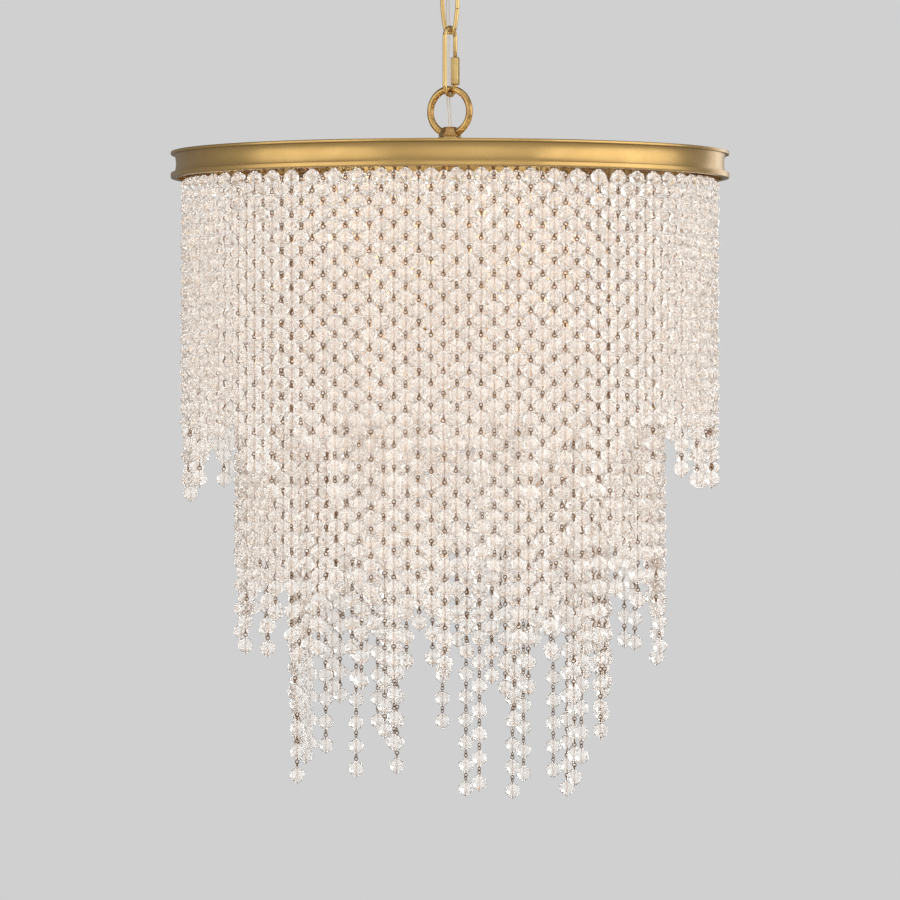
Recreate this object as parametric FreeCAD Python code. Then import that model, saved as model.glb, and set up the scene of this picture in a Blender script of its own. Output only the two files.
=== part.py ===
import FreeCAD, Part
import os
import random
from math import asin, ceil, cos, degrees, pi, radians, sin, sqrt

# A drum chandelier with three concentric curtains of glass bead strands, hung on a short chain.
# Millimetres, +Z up. The origin is the centre of the canopy's rim, on the ceiling plane,
# so the whole object hangs below z = 0. The viewer of the front stands on the -Y side.

Vector = FreeCAD.Vector
UP = Vector(0, 0, 1)

# Clearances
running_clearance = 0.3
link_clearance = 0.5
cord_clearance = 0.8
seat_clearance = 0.3
strand_top_clearance = 0.75

# Flat sides on the small curved pieces
wire_sides = 8
ring_steps = 20
bow_steps = 8
turned_sides = 12
lamp_sides = 8
cord_sides = 6
slot_end_steps = 6
canopy_sides = 28
hoop_sides = 48

# Crossbar that screws to the ceiling box
crossbar_end = 3.55
crossbar_width = 24.0
crossbar_thickness = 2.0
box_screw_spacing = 88.9
box_slot_length = 12.0
box_slot_width = 5.0
crossbar_length = box_screw_spacing + box_slot_length + 2 * crossbar_end

# Threaded pipe from the crossbar to the canopy loop
pipe_diameter = 10.0
pipe_bore = 7.0
thread_engagement = 8.0
lock_nut_across_flats = 17.0
lock_nut_height = 4.0

# Canopy and its ring nut
canopy_diameter = 127.0
canopy_depth = 28.0
canopy_wall = 1.0
canopy_rim_height = 4.0
canopy_neck_diameter = 46.0
canopy_hole_clearance = 0.5
ring_nut_diameter = 36.0
ring_nut_height = 6.0

# Loop under the canopy
canopy_loop_thread_diameter = 24.0
canopy_loop_thread_height = 16.0
canopy_loop_width = 22.0
canopy_loop_wire = 4.5
canopy_loop_neck = 1.0
thread_below_ring_nut = 1.3

# Chain
chain_turn = -30.0
link_wire = 4.0
link_length = 65.5
link_width = 20.0
link_bow_radius = 5.0
quick_link_wire = 4.0
quick_link_length = 65.6
quick_link_width = 23.0
quick_link_gap = 9.0
sleeve_length = 25.0
sleeve_across_flats = 7.4
sleeve_height_on_leg = 12.0

# Loop on top of the drum
hanging_loop_diameter = 47.2
hanging_loop_wire = 6.3
loop_base_height = 9.0
loop_base_width = 21.0
loop_base_top_width = 15.0
loop_overlap = 9.5

# Drum
drum_diameter = 508.0
band_height = 22.8
band_wall = 1.2
band_lip = 3.6
band_lip_height = 4.8
band_cove_depth = 4.7
drum_below_loop = 15.5
spoke_count = 6
spoke_width = 14.0
spoke_thickness = 3.0
spoke_drop = 3.0
spider_hub_diameter = 60.0
bead_ring_height = 8.0
bead_ring_wall = 2.0
rod_nut_across_flats = 19.0
rod_nut_height = 5.0

# Bead strands
bead_width = 14.0
bead_length = 14.0
bead_fullness = 0.48
bead_pitch = 21.3
first_bead_drop = 11.9
head_pin_length = 1.5
strand_side = sqrt(bead_fullness * bead_width ** 2 * bead_length / bead_pitch)
sectors_per_tier = 8
outer_tier_inset = 15.5
middle_tier_inset = 49.1
inner_tier_inset = 49.4
outer_tier_strands = 136
middle_tier_strands = 108
inner_tier_strands = 80

# Ragged lower ends: the most beads on a strand, how many the shortest ones lack, and the draw's seed
outer_longest = 14
outer_lack = 4
outer_draw = 1818
middle_longest = 21
middle_lack = 6
middle_draw = 10400
inner_longest = 27
inner_lack = 10
inner_draw = 22922
lack_bias = 0.75

# Light cluster
column_diameter = 16.0
hub_diameter = 34.0
hub_height = 44.0
hub_neck_diameter = 20.0
hub_below_drum = 123.0
hub_cover_height = 14.0
finial_height = 26.0
finial_seat = 8.0
finial_diameter = 13.0
lamp_count = 6
arm_diameter = 8.0
arm_bore = 5.0
arm_reach = 68.0
arm_below_hub_top = 12.0
arm_wall_at_rod = 4.0
arm_end_wall = 1.0
cup_diameter = 30.0
cup_height = 16.0
cup_wall = 1.5
socket_diameter = 22.0
socket_bore = 12.6
socket_height = 30.0
bulb_base_diameter = 12.0
bulb_base_length = 20.0
bulb_diameter = 32.0
bulb_height = 70.0

# Supply cord
cord_diameter = 4.0
cord_diagonal = 45.0

# Heights and radii worked out from the sizes above, from the ceiling down
canopy_loop_wire_radius = canopy_loop_wire / 2
canopy_loop_mean_radius = (canopy_loop_width - canopy_loop_wire) / 2
thread_bottom_z = -canopy_depth - ring_nut_height - thread_below_ring_nut
thread_top_z = thread_bottom_z + canopy_loop_thread_height
canopy_loop_centre_z = thread_bottom_z - canopy_loop_mean_radius - canopy_loop_neck
canopy_loop_bow_z = canopy_loop_centre_z - canopy_loop_mean_radius

link_bow_span = link_length - link_wire
upper_link_top_z = canopy_loop_bow_z + canopy_loop_wire_radius + link_wire / 2 + link_clearance
upper_link_bow_z = upper_link_top_z - link_bow_span
lower_link_top_z = upper_link_bow_z + link_wire + link_clearance
lower_link_bow_z = lower_link_top_z - link_bow_span
quick_link_top_z = lower_link_bow_z + (link_wire + quick_link_wire) / 2 + link_clearance
quick_link_bow_z = quick_link_top_z - (quick_link_length - quick_link_wire)

hanging_loop_mean_radius = (hanging_loop_diameter - hanging_loop_wire) / 2
hanging_loop_top_z = quick_link_bow_z + (quick_link_wire + hanging_loop_wire) / 2 + link_clearance
hanging_loop_centre_z = hanging_loop_top_z - hanging_loop_mean_radius
loop_base_top_z = hanging_loop_centre_z - hanging_loop_mean_radius + loop_overlap - hanging_loop_wire / 2
loop_base_bottom_z = loop_base_top_z - loop_base_height

band_top_z = loop_base_bottom_z - drum_below_loop
band_bottom_z = band_top_z - band_height
spoke_top_z = band_top_z - spoke_drop
spoke_bottom_z = spoke_top_z - spoke_thickness
hook_z = spoke_bottom_z - bead_ring_height
outer_tier_radius = drum_diameter / 2 - outer_tier_inset
middle_tier_radius = outer_tier_radius - middle_tier_inset
inner_tier_radius = middle_tier_radius - inner_tier_inset
hub_top_z = band_bottom_z - hub_below_drum
hub_bottom_z = hub_top_z - hub_height
cover_bottom_z = hub_bottom_z - hub_cover_height
arm_z = hub_top_z - arm_below_hub_top
arm_start = pipe_diameter / 2 + arm_wall_at_rod
lamp_radius = arm_reach - arm_diameter / 2 - arm_end_wall
cup_floor_z = arm_z + arm_diameter / 2
socket_top_z = cup_floor_z + cup_wall + socket_height


def point_at(radius, angle, z):
    """Point at a radius and a heading in degrees round the vertical axis."""
    return Vector(radius * cos(radians(angle)), radius * sin(radians(angle)), z)


def faceted_solid(faces):
    """Closed solid from flat faces, each given as its corners."""
    shell = Part.Shell([Part.Face(Part.makePolygon(corners + corners[:1])) for corners in faces])
    solid = Part.Solid(shell)
    if solid.Volume < 0:
        solid.reverse()
    return solid


def faceted_turning(sides, profile):
    """Turned piece with flat sides, from a closed half profile of (radius, z) points.

    The sides keep the area of the round piece. Small repeated pieces are made this way.
    """
    swell = area_radius(1.0, sides)
    faces = []
    for (r0, z0), (r1, z1) in zip(profile, profile[1:] + profile[:1]):
        if r0 == 0 and r1 == 0:
            continue
        for i in range(sides):
            near, far = 360.0 * i / sides, 360.0 * (i + 1) / sides
            corners = [point_at(r0 * swell, near, z0), point_at(r1 * swell, near, z1)]
            if r1 > 0:
                corners.append(point_at(r1 * swell, far, z1))
            if r0 > 0:
                corners.append(point_at(r0 * swell, far, z0))
            faces.append(corners)
    return faceted_solid(faces)


def area_radius(radius, sides):
    """Corner radius of the regular polygon that has a circle's area."""
    return radius * sqrt(2 * pi / (sides * sin(2 * pi / sides)))


def rod(radius, bottom_z, top_z):
    """Upright round rod on the axis."""
    return Part.makeCylinder(radius, top_z - bottom_z, Vector(0, 0, bottom_z))


def faceted_rod(radius, bottom_z, top_z):
    """Upright rod on the axis with flat sides."""
    return faceted_turning(turned_sides, [(0, bottom_z), (radius, bottom_z), (radius, top_z), (0, top_z)])


def faceted_tube(sides, outer_radius, inner_radius, bottom_z, top_z):
    """Upright tube on the axis with flat sides."""
    return faceted_turning(sides, [
        (inner_radius, bottom_z), (outer_radius, bottom_z), (outer_radius, top_z), (inner_radius, top_z),
    ])


def regular_outline(sides, across_flats, z, turn=0.0):
    """Closed polygon with equal sides, given the distance across its flats."""
    corner_radius = across_flats / 2 / cos(pi / sides)
    corners = [point_at(corner_radius, turn + 360.0 * i / sides, z) for i in range(sides)]
    return Part.makePolygon(corners + corners[:1])


def nut(across_flats, bore_radius, bottom_z, height):
    """Hexagon nut on the axis."""
    outline = regular_outline(6, across_flats, bottom_z)
    blank = Part.Face(outline).extrude(UP * height)
    return blank.cut(faceted_rod(bore_radius, bottom_z - 1, bottom_z + height + 1))


def arc_path(centre, radius, start_angle, sweep, steps):
    """Points of an arc in the XZ plane, each with the direction that points away from its centre."""
    path = []
    for i in range(steps + 1):
        angle = radians(start_angle + sweep * i / steps)
        outward = Vector(cos(angle), 0, sin(angle))
        path.append((centre + outward * radius, outward))
    return path


def bent_wire(path, wire_radius, closed):
    """Wire with flat sides along a path in the XZ plane."""
    corner_radius = area_radius(wire_radius, wire_sides)
    sections = []
    for point, outward in path:
        section = []
        for i in range(wire_sides):
            angle = 2 * pi * (i + 0.5) / wire_sides
            section.append(point + outward * (corner_radius * cos(angle)) + Vector(0, corner_radius * sin(angle), 0))
        sections.append(section)
    following = sections[1:] + (sections[:1] if closed else [])
    faces = []
    for here, there in zip(sections, following):
        for i in range(wire_sides):
            j = (i + 1) % wire_sides
            faces.append([here[i], there[i], there[j], here[j]])
    if not closed:
        faces += [sections[0], sections[-1]]
    return faceted_solid(faces)


def wire_ring(centre_z, mean_radius, wire_radius):
    """Closed ring of wire standing in the XZ plane."""
    path = arc_path(Vector(0, 0, centre_z), mean_radius, 0, 360, ring_steps)[:-1]
    return bent_wire(path, wire_radius, True)


def one_solid(pieces):
    """Joins touching pieces into one solid with clean faces."""
    joined = pieces[0].fuse(pieces[1:]).removeSplitter()
    return joined.Solids[0]


def turned_about_axis(shape, angle):
    """Copy of a shape turned round the vertical axis."""
    copy = shape.copy()
    copy.rotate(Vector(0, 0, 0), UP, angle)
    return copy


def round_the_axis(shape, count, first_angle=0.0):
    """Equal copies of a shape spaced round the vertical axis."""
    return [turned_about_axis(shape, first_angle + 360.0 * i / count) for i in range(count)]


# Ceiling fitting

def rounded_plate(length, width, corner_radius, bottom_z, thickness):
    """Plate with rounded corners in short flat steps, centred on the axis."""
    corners = []
    for quarter, (along, over) in enumerate(((1, 1), (-1, 1), (-1, -1), (1, -1))):
        centre = Vector(along * (length / 2 - corner_radius), over * (width / 2 - corner_radius), bottom_z)
        for step in range(slot_end_steps // 2 + 1):
            heading = 90.0 * quarter + 180.0 * step / slot_end_steps
            corners.append(centre + point_at(corner_radius, heading, 0))
    outline = Part.makePolygon(corners + corners[:1])
    return Part.Face(outline).extrude(UP * thickness)


def crossbar():
    """Steel strap with a threaded centre hole and a slot for each box screw."""
    strap = rounded_plate(
        crossbar_length, crossbar_width, crossbar_width / 4, -crossbar_thickness, crossbar_thickness,
    )
    strap = strap.cut(faceted_rod(pipe_diameter / 2, -crossbar_thickness - 1, 1))
    for side in (-1, 1):
        slot = box_slot()
        slot.translate(Vector(side * box_screw_spacing / 2, 0, 0))
        strap = strap.cut(slot)
    return strap


def box_slot():
    """Cutter for the slot of one box screw, with round ends."""
    half_straight = (box_slot_length - box_slot_width) / 2
    depth = crossbar_thickness + 2
    bottom_z = -crossbar_thickness - 1
    corner = Vector(-half_straight, -box_slot_width / 2, bottom_z)
    slot = Part.makeBox(2 * half_straight, box_slot_width, depth, corner)
    for end in (-1, 1):
        slot = slot.fuse(Part.makeCylinder(box_slot_width / 2, depth, Vector(end * half_straight, 0, bottom_z)))
    return slot


def threaded_pipe():
    """Hollow threaded pipe that the cord comes down through."""
    return faceted_tube(turned_sides, pipe_diameter / 2, pipe_bore / 2, thread_top_z - thread_engagement, 0)


def lock_nut():
    """Nut that locks the pipe under the crossbar."""
    return nut(lock_nut_across_flats, pipe_diameter / 2, -crossbar_thickness - lock_nut_height, lock_nut_height)


def canopy_loop():
    """Threaded collar with a cast ring below it, hollow for the cord."""
    radius = canopy_loop_thread_diameter / 2
    collar = faceted_turning(turned_sides, [
        (0, thread_top_z), (radius, thread_top_z), (radius, thread_bottom_z), (0, thread_bottom_z),
    ])
    ring = wire_ring(canopy_loop_centre_z, canopy_loop_mean_radius, canopy_loop_wire_radius)
    body = one_solid([collar, turned_about_axis(ring, chain_turn)])
    cord_way = faceted_rod(pipe_bore / 2, canopy_loop_centre_z, thread_top_z + 1)
    pipe_seat = faceted_rod(pipe_diameter / 2, thread_top_z - thread_engagement, thread_top_z + 1)
    return body.cut(cord_way).cut(pipe_seat).Solids[0]


def dome(radius, depth, rim_height, hole):
    """Half profile of the canopy's form from the rim down to its hole."""
    neck = canopy_neck_diameter / 2
    side = depth - rim_height
    run = radius - neck
    return [
        (radius, 0), (radius, -rim_height), (radius - run * 0.12, -rim_height - side * 0.36),
        (radius - run * 0.42, -rim_height - side * 0.74), (neck, -depth), (hole, -depth),
    ]


def canopy():
    """Spun brass cover that hides the ceiling box."""
    hole = canopy_loop_thread_diameter / 2 + canopy_hole_clearance
    radius = canopy_diameter / 2
    outside = dome(radius, canopy_depth, canopy_rim_height, hole)
    inside = dome(radius - canopy_wall, canopy_depth - canopy_wall, canopy_rim_height - canopy_wall / 2, hole)
    return faceted_turning(canopy_sides, outside + inside[::-1])


def canopy_ring_nut():
    """Ring with flat grips that screws up the loop's thread and holds the canopy."""
    top_z = -canopy_depth
    bottom_z = top_z - ring_nut_height
    bore = canopy_loop_thread_diameter / 2 + running_clearance
    outer = ring_nut_diameter / 2
    bevel = ring_nut_height / 4
    return faceted_turning(turned_sides, [
        (bore, top_z), (outer - bevel, top_z), (outer, top_z - bevel),
        (outer, bottom_z + bevel), (outer - bevel, bottom_z), (bore, bottom_z),
    ])


# Chain

def oval_link(bow_z):
    """Oval link of round wire: two small end arcs joined by two long side arcs."""
    half_length = link_bow_span / 2
    half_width = (link_width - link_wire) / 2
    end_height = half_length - link_bow_radius
    narrow = half_width - link_bow_radius
    side_radius = (end_height ** 2 + half_width ** 2 - link_bow_radius ** 2) / (2 * narrow)
    side_offset = side_radius - half_width
    side_angle = degrees(asin(end_height / (side_radius - link_bow_radius)))
    middle_z = bow_z + half_length
    path = []
    for side, up in ((1, 1), (-1, -1)):
        first = -side_angle if side > 0 else 180 - side_angle
        side_centre = Vector(-side * side_offset, 0, middle_z)
        end_centre = Vector(0, 0, middle_z + up * end_height)
        path += arc_path(side_centre, side_radius, first, 2 * side_angle, bow_steps // 2)[:-1]
        path += arc_path(end_centre, link_bow_radius, first + 2 * side_angle, 180 - 2 * side_angle, bow_steps)[:-1]
    return bent_wire(path, link_wire / 2, True)


def upper_chain_link():
    """Link that hangs in the canopy loop."""
    return turned_about_axis(oval_link(upper_link_bow_z), chain_turn + 90)


def lower_chain_link():
    """Link between the upper link and the quick link."""
    return turned_about_axis(oval_link(lower_link_bow_z), chain_turn)


def quick_link():
    """Oval quick link, open in one leg where the sleeve bridges it."""
    bow_radius = (quick_link_width - quick_link_wire) / 2
    top_centre = Vector(0, 0, quick_link_top_z - bow_radius)
    bottom_centre = Vector(0, 0, quick_link_bow_z + bow_radius)
    gap_middle_z = quick_link_bow_z + sleeve_height_on_leg + sleeve_length / 2
    outward = Vector(1, 0, 0)
    path = [(Vector(bow_radius, 0, gap_middle_z + quick_link_gap / 2), outward)]
    path += arc_path(top_centre, bow_radius, 0, 180, bow_steps)
    path += arc_path(bottom_centre, bow_radius, 180, 180, bow_steps)
    path += [(Vector(bow_radius, 0, gap_middle_z - quick_link_gap / 2), outward)]
    return turned_about_axis(bent_wire(path, quick_link_wire / 2, False), chain_turn + 90)


def quick_link_sleeve():
    """Hexagon sleeve that screws along the leg to close the gap."""
    bow_radius = (quick_link_width - quick_link_wire) / 2
    bottom_z = quick_link_bow_z + sleeve_height_on_leg
    outline = regular_outline(6, sleeve_across_flats, bottom_z)
    blank = Part.Face(outline).extrude(UP * sleeve_length)
    bore = rod(quick_link_wire / 2 + running_clearance, bottom_z - 1, bottom_z + sleeve_length + 1)
    sleeve = blank.cut(bore)
    sleeve.translate(Vector(bow_radius, 0, 0))
    return turned_about_axis(sleeve, chain_turn + 90)


# Drum

def hanging_loop():
    """Cast ring on a tapered hexagon base, screwed to the centre rod."""
    ring = wire_ring(hanging_loop_centre_z, hanging_loop_mean_radius, hanging_loop_wire / 2)
    ring = turned_about_axis(ring, chain_turn)
    base = faceted_turning(6, [
        (0, loop_base_bottom_z), (loop_base_width / 2, loop_base_bottom_z),
        (loop_base_top_width / 2, loop_base_top_z), (0, loop_base_top_z),
    ])
    below_base = Part.makeBox(
        hanging_loop_diameter, hanging_loop_diameter, hanging_loop_diameter,
        Vector(-hanging_loop_diameter / 2, -hanging_loop_diameter / 2, loop_base_bottom_z - hanging_loop_diameter),
    )
    body = one_solid([base, ring]).cut(below_base)
    cord_way = faceted_rod(pipe_bore / 2, loop_base_bottom_z - 1, hanging_loop_centre_z)
    rod_seat = faceted_rod(pipe_diameter / 2, loop_base_bottom_z - 1, loop_base_top_z - loop_base_height / 3)
    return body.cut(cord_way).cut(rod_seat).Solids[0]


def centre_rod():
    """Threaded pipe that carries the spider, the column and the light cluster."""
    return faceted_tube(
        turned_sides, pipe_diameter / 2, pipe_bore / 2,
        cover_bottom_z - finial_seat, loop_base_top_z - loop_base_height / 3,
    )


def rod_nuts():
    """Two nuts that clamp the spider's hub on the rod."""
    return [
        nut(rod_nut_across_flats, pipe_diameter / 2, spoke_bottom_z - rod_nut_height, rod_nut_height),
        nut(rod_nut_across_flats, pipe_diameter / 2, spoke_top_z, loop_base_bottom_z - spoke_top_z),
    ]


def top_spider():
    """Flat hub and spokes, each spoke ending in a tab turned down against the band."""
    hub = faceted_rod(spider_hub_diameter / 2, spoke_bottom_z, spoke_top_z)
    reach = drum_diameter / 2 - band_cove_depth - band_wall
    spoke = Part.makeBox(reach, spoke_width, spoke_thickness, Vector(0, -spoke_width / 2, spoke_bottom_z))
    tab_height = band_height - 2 * band_lip_height - spoke_drop
    tab = Part.makeBox(
        spoke_thickness, spoke_width, tab_height,
        Vector(reach - spoke_thickness, -spoke_width / 2, spoke_top_z - tab_height),
    )
    band_bore = faceted_turning(hoop_sides, [
        (0, band_bottom_z), (reach, band_bottom_z), (reach, band_top_z), (0, band_top_z),
    ])
    arm = spoke.fuse(tab).common(band_bore)
    spider = one_solid([hub] + round_the_axis(arm, spoke_count, 180.0 / spoke_count))
    return spider.cut(faceted_rod(pipe_diameter / 2, spoke_bottom_z - 1, spoke_top_z + 1))


def drum_band():
    """Rolled brass band: a rounded lip at the top and the bottom with a cove between them."""
    outer = drum_diameter / 2
    inner = outer - band_cove_depth - band_wall
    lip_root = outer - band_lip
    cove = outer - band_cove_depth
    top, bottom = band_top_z, band_bottom_z
    round_off = band_lip_height / 4
    lip_base = band_lip_height
    slope = (band_height - 2 * band_lip_height) / 5
    return faceted_turning(hoop_sides, [
        (inner, top), (lip_root, top),
        (outer, top - round_off), (outer, top - lip_base + round_off), (lip_root, top - lip_base),
        (cove, top - lip_base - slope), (cove, bottom + lip_base + slope), (lip_root, bottom + lip_base),
        (outer, bottom + lip_base - round_off), (outer, bottom + round_off), (lip_root, bottom),
        (inner, bottom),
    ])


def bead_ring(radius):
    """Flat brass hoop under the spokes that a tier of strands hooks into."""
    half = bead_ring_wall / 2
    return faceted_tube(hoop_sides, radius + half, radius - half, hook_z, spoke_bottom_z)


# Light cluster

def column_tube():
    """Plain tube over the rod, from the spider's lower nut to the light hub."""
    return faceted_tube(
        turned_sides, column_diameter / 2, pipe_diameter / 2, hub_top_z, spoke_bottom_z - rod_nut_height,
    )


def light_hub():
    """Turned hub that the arms screw into, with a necked top."""
    outer = hub_diameter / 2
    neck = hub_neck_diameter / 2
    step = (outer - neck) / 2
    bore = pipe_diameter / 2
    body = faceted_turning(turned_sides, [
        (bore, hub_top_z), (neck, hub_top_z), (neck, hub_top_z - step),
        (outer, hub_top_z - 2 * step), (outer, hub_bottom_z), (bore, hub_bottom_z),
    ])
    arm_seat = lying_rod(arm_diameter / 2, arm_start, outer + 5)
    for seat in round_the_axis(arm_seat, lamp_count):
        body = body.cut(seat)
    return body


def hub_cover():
    """Domed cap that closes the hub's wiring chamber from below."""
    outer = hub_diameter / 2
    bore = pipe_diameter / 2
    return faceted_turning(turned_sides, [
        (bore, hub_bottom_z), (outer, hub_bottom_z), (outer * 0.93, hub_bottom_z - hub_cover_height * 0.4),
        (outer * 0.7, hub_bottom_z - hub_cover_height * 0.78),
        (finial_diameter / 2, cover_bottom_z), (bore, cover_bottom_z),
    ])


def bottom_finial():
    """Turned knob that screws on the rod's lower end and holds the cover."""
    radius = finial_diameter / 2
    bore = pipe_diameter / 2
    seat_z = cover_bottom_z - finial_seat
    neck_z = seat_z - finial_seat / 4
    ball_z = cover_bottom_z - finial_height
    ball = neck_z - ball_z
    return faceted_turning(turned_sides, [
        (bore, cover_bottom_z), (radius, cover_bottom_z), (radius, seat_z), (radius * 0.6, neck_z),
        (radius * 0.92, neck_z - ball * 0.25), (radius, neck_z - ball * 0.5),
        (radius * 0.7, neck_z - ball * 0.82), (0, ball_z), (0, seat_z), (bore, seat_z),
    ])


def lying_rod(radius, start, end):
    """Eight-sided rod that points out along +X at the arms' height."""
    path = [(Vector(0, 0, x), Vector(1, 0, 0)) for x in (start, end)]
    bar = bent_wire(path, radius, False)
    bar.rotate(Vector(0, 0, 0), Vector(0, 1, 0), 90)
    bar.translate(UP * arm_z)
    return bar


def lamp_arms():
    """Straight tubes from the hub out to each cup."""
    outer = lying_rod(arm_diameter / 2, arm_start, arm_reach)
    bore = lying_rod(arm_bore / 2, arm_start - 1, lamp_radius)
    return round_the_axis(outer.cut(bore), lamp_count)


def at_lamp(shape):
    """Moves a shape from the axis out to the first lamp's place."""
    shape.translate(Vector(lamp_radius, 0, 0))
    return shape


def socket_cups():
    """Spun brass cup on the end of each arm."""
    outer = cup_diameter / 2
    foot = arm_diameter
    rim_z = cup_floor_z + cup_height
    waist_z = cup_floor_z + cup_height / 2
    cup = faceted_turning(lamp_sides, [
        (0, cup_floor_z), (foot, cup_floor_z), (outer, waist_z), (outer, rim_z), (outer - cup_wall, rim_z),
        (outer - cup_wall, waist_z + cup_wall / 2), (foot - cup_wall / 2, cup_floor_z + cup_wall),
        (0, cup_floor_z + cup_wall),
    ])
    return round_the_axis(at_lamp(cup), lamp_count)


def sockets():
    """White lamp holder that stands in each cup."""
    floor_z = cup_floor_z + cup_wall
    foot = arm_diameter - cup_wall
    seat_z = socket_top_z - bulb_base_length - seat_clearance
    holder = faceted_turning(lamp_sides, [
        (0, floor_z), (foot, floor_z), (socket_diameter / 2, floor_z + cup_height / 2),
        (socket_diameter / 2, socket_top_z), (socket_bore / 2, socket_top_z), (socket_bore / 2, seat_z),
        (0, seat_z),
    ])
    return round_the_axis(at_lamp(holder), lamp_count)


def candle_bulb():
    """Candle lamp bulb: a base in the holder and a glass flame above it, in flat facets."""
    base = bulb_base_diameter / 2
    widest = bulb_diameter / 2
    return at_lamp(faceted_turning(lamp_sides, [
        (0, socket_top_z - bulb_base_length), (base, socket_top_z - bulb_base_length),
        (base, socket_top_z + seat_clearance), (widest * 0.64, socket_top_z + bulb_height * 0.08),
        (widest, socket_top_z + bulb_height * 0.36), (widest * 0.66, socket_top_z + bulb_height * 0.74),
        (0, socket_top_z + bulb_height),
    ]))


# Bead strands

def bead_counts(count, longest, lack, draw):
    """Beads on each strand of a tier. The lower ends are ragged, as real ones are hung.

    Every other strand hangs half a pitch lower, so it has a bead less.
    """
    dice = random.Random(draw)
    return [longest - index % 2 - int(lack * dice.random() ** lack_bias) for index in range(count)]


def strand_end_z(index, beads):
    """Height of the head pin's tip under a strand's last bead."""
    last_bead_z = first_bead_z(index) - (beads - 1) * bead_pitch
    return last_bead_z - bead_length / 2 - head_pin_length


def first_bead_z(index):
    """Height of a strand's first bead. Every other strand hangs half a pitch lower."""
    return hook_z - first_bead_drop - (index % 2) * bead_pitch / 2


def strand(radius, angle, shoulder_z, end_z):
    """Slim square column of a strand, pointed at its hook and at the last bead's pin."""
    half = strand_side / 2
    taper_z = end_z + bead_length / 2
    plan = [(half, -half), (half, half), (-half, half), (-half, -half)]
    hook = Vector(radius, 0, hook_z - strand_top_clearance)
    top = [Vector(radius + x, y, shoulder_z) for x, y in plan]
    low = [Vector(radius + x, y, taper_z) for x, y in plan]
    tip = Vector(radius, 0, end_z)
    faces = []
    for i in range(4):
        j = (i + 1) % 4
        faces.append([hook, top[i], top[j]])
        faces.append([top[i], low[i], low[j], top[j]])
        faces.append([low[i], tip, low[j]])
    return turned_about_axis(faceted_solid(faces), angle)


def strand_sector(tier, radius, counts, sector):
    """Strands of one eighth of a tier, and the line that they swing about."""
    first = ceil(len(counts) * sector / sectors_per_tier)
    last = ceil(len(counts) * (sector + 1) / sectors_per_tier)
    middle_angle = 360.0 * (sector + 0.5) / sectors_per_tier
    strands = []
    moment = 0.0
    volume = 0.0
    for index in range(first, last):
        angle = 360.0 * (index + 0.5) / len(counts)
        shoulder_z = first_bead_z(index) + bead_length / 2
        solid = strand(radius, angle, shoulder_z, strand_end_z(index, counts[index]))
        strands.append(solid)
        moment += solid.Volume * radius * cos(radians(angle - middle_angle))
        volume += solid.Volume
    pivot = point_at(moment / volume, middle_angle, hook_z)
    print("pivot %s_strands_%d %.4f %.4f %.4f heading %.4f" % (
        tier, sector + 1, pivot.x, pivot.y, pivot.z, middle_angle))
    return strands


# Supply cord

def beside(wire):
    """Distance from the axis at which the cord clears two crossed wires, seen along a diagonal."""
    return (wire / 2 + cord_diameter / 2 + cord_clearance) * sqrt(2)


def cord_route():
    """Points of the cord from the canopy loop's bore down through the links to the drum."""
    across = chain_turn + cord_diagonal
    behind = across + 90
    middle_of_upper_link = (upper_link_top_z + upper_link_bow_z) / 2
    return [
        Vector(0, 0, thread_top_z),
        Vector(0, 0, thread_bottom_z - canopy_loop_wire / 2),
        point_at(beside(canopy_loop_wire) + 1.2, across, canopy_loop_bow_z + 1),
        Vector(0, 0, middle_of_upper_link),
        point_at(beside(link_wire) + 1.2, behind, upper_link_bow_z + 3),
        point_at(beside(link_wire) + 0.6, behind, lower_link_bow_z + 2),
        point_at(beside(hanging_loop_wire) + 0.4, behind, quick_link_bow_z + 1),
        Vector(0, 0, loop_base_top_z + 9),
        Vector(0, 0, loop_base_top_z - loop_base_height / 3),
    ]


def supply_cord():
    """Clear twin cord as one tube of straight runs joined by arcs."""
    points = cord_route()
    edges = []
    here = points[0]
    for before, corner, after in zip(points, points[1:], points[2:]):
        into = (corner - before).normalize()
        out = (after - corner).normalize()
        turn = into.getAngle(out)
        if turn < radians(0.5):
            continue
        shorter = min((corner - before).Length, (after - corner).Length)
        setback = 0.45 * shorter
        arc_radius = setback / (sin(turn / 2) / cos(turn / 2))
        start = corner - into * setback
        end = corner + out * setback
        bisector = (out - into).normalize()
        centre = corner + bisector * (arc_radius / cos(turn / 2))
        middle = centre - bisector * arc_radius
        edges.append(Part.makeLine(here, start))
        edges.append(Part.Arc(start, middle, end).toShape())
        print("cord arc radius %.1f" % arc_radius)
        here = end
    edges.append(Part.makeLine(here, points[-1]))
    path = Part.Wire(edges)
    corner_radius = area_radius(cord_diameter / 2, cord_sides)
    corners = [point_at(corner_radius, 360.0 * i / cord_sides, points[0].z) for i in range(cord_sides)]
    cord = path.makePipeShell([Part.makePolygon(corners + corners[:1])], True, False)
    area = pi * cord_diameter ** 2 / 4
    print("cord length %.1f, volume %.1f of %.1f" % (path.Length, cord.Volume, area * path.Length))
    return cord


def save(name, shape):
    """Writes one node, a solid or a group of separate solids."""
    if isinstance(shape, list):
        shape = Part.Compound(shape)
    shape.exportStep("parts/%s.step" % name)


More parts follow.
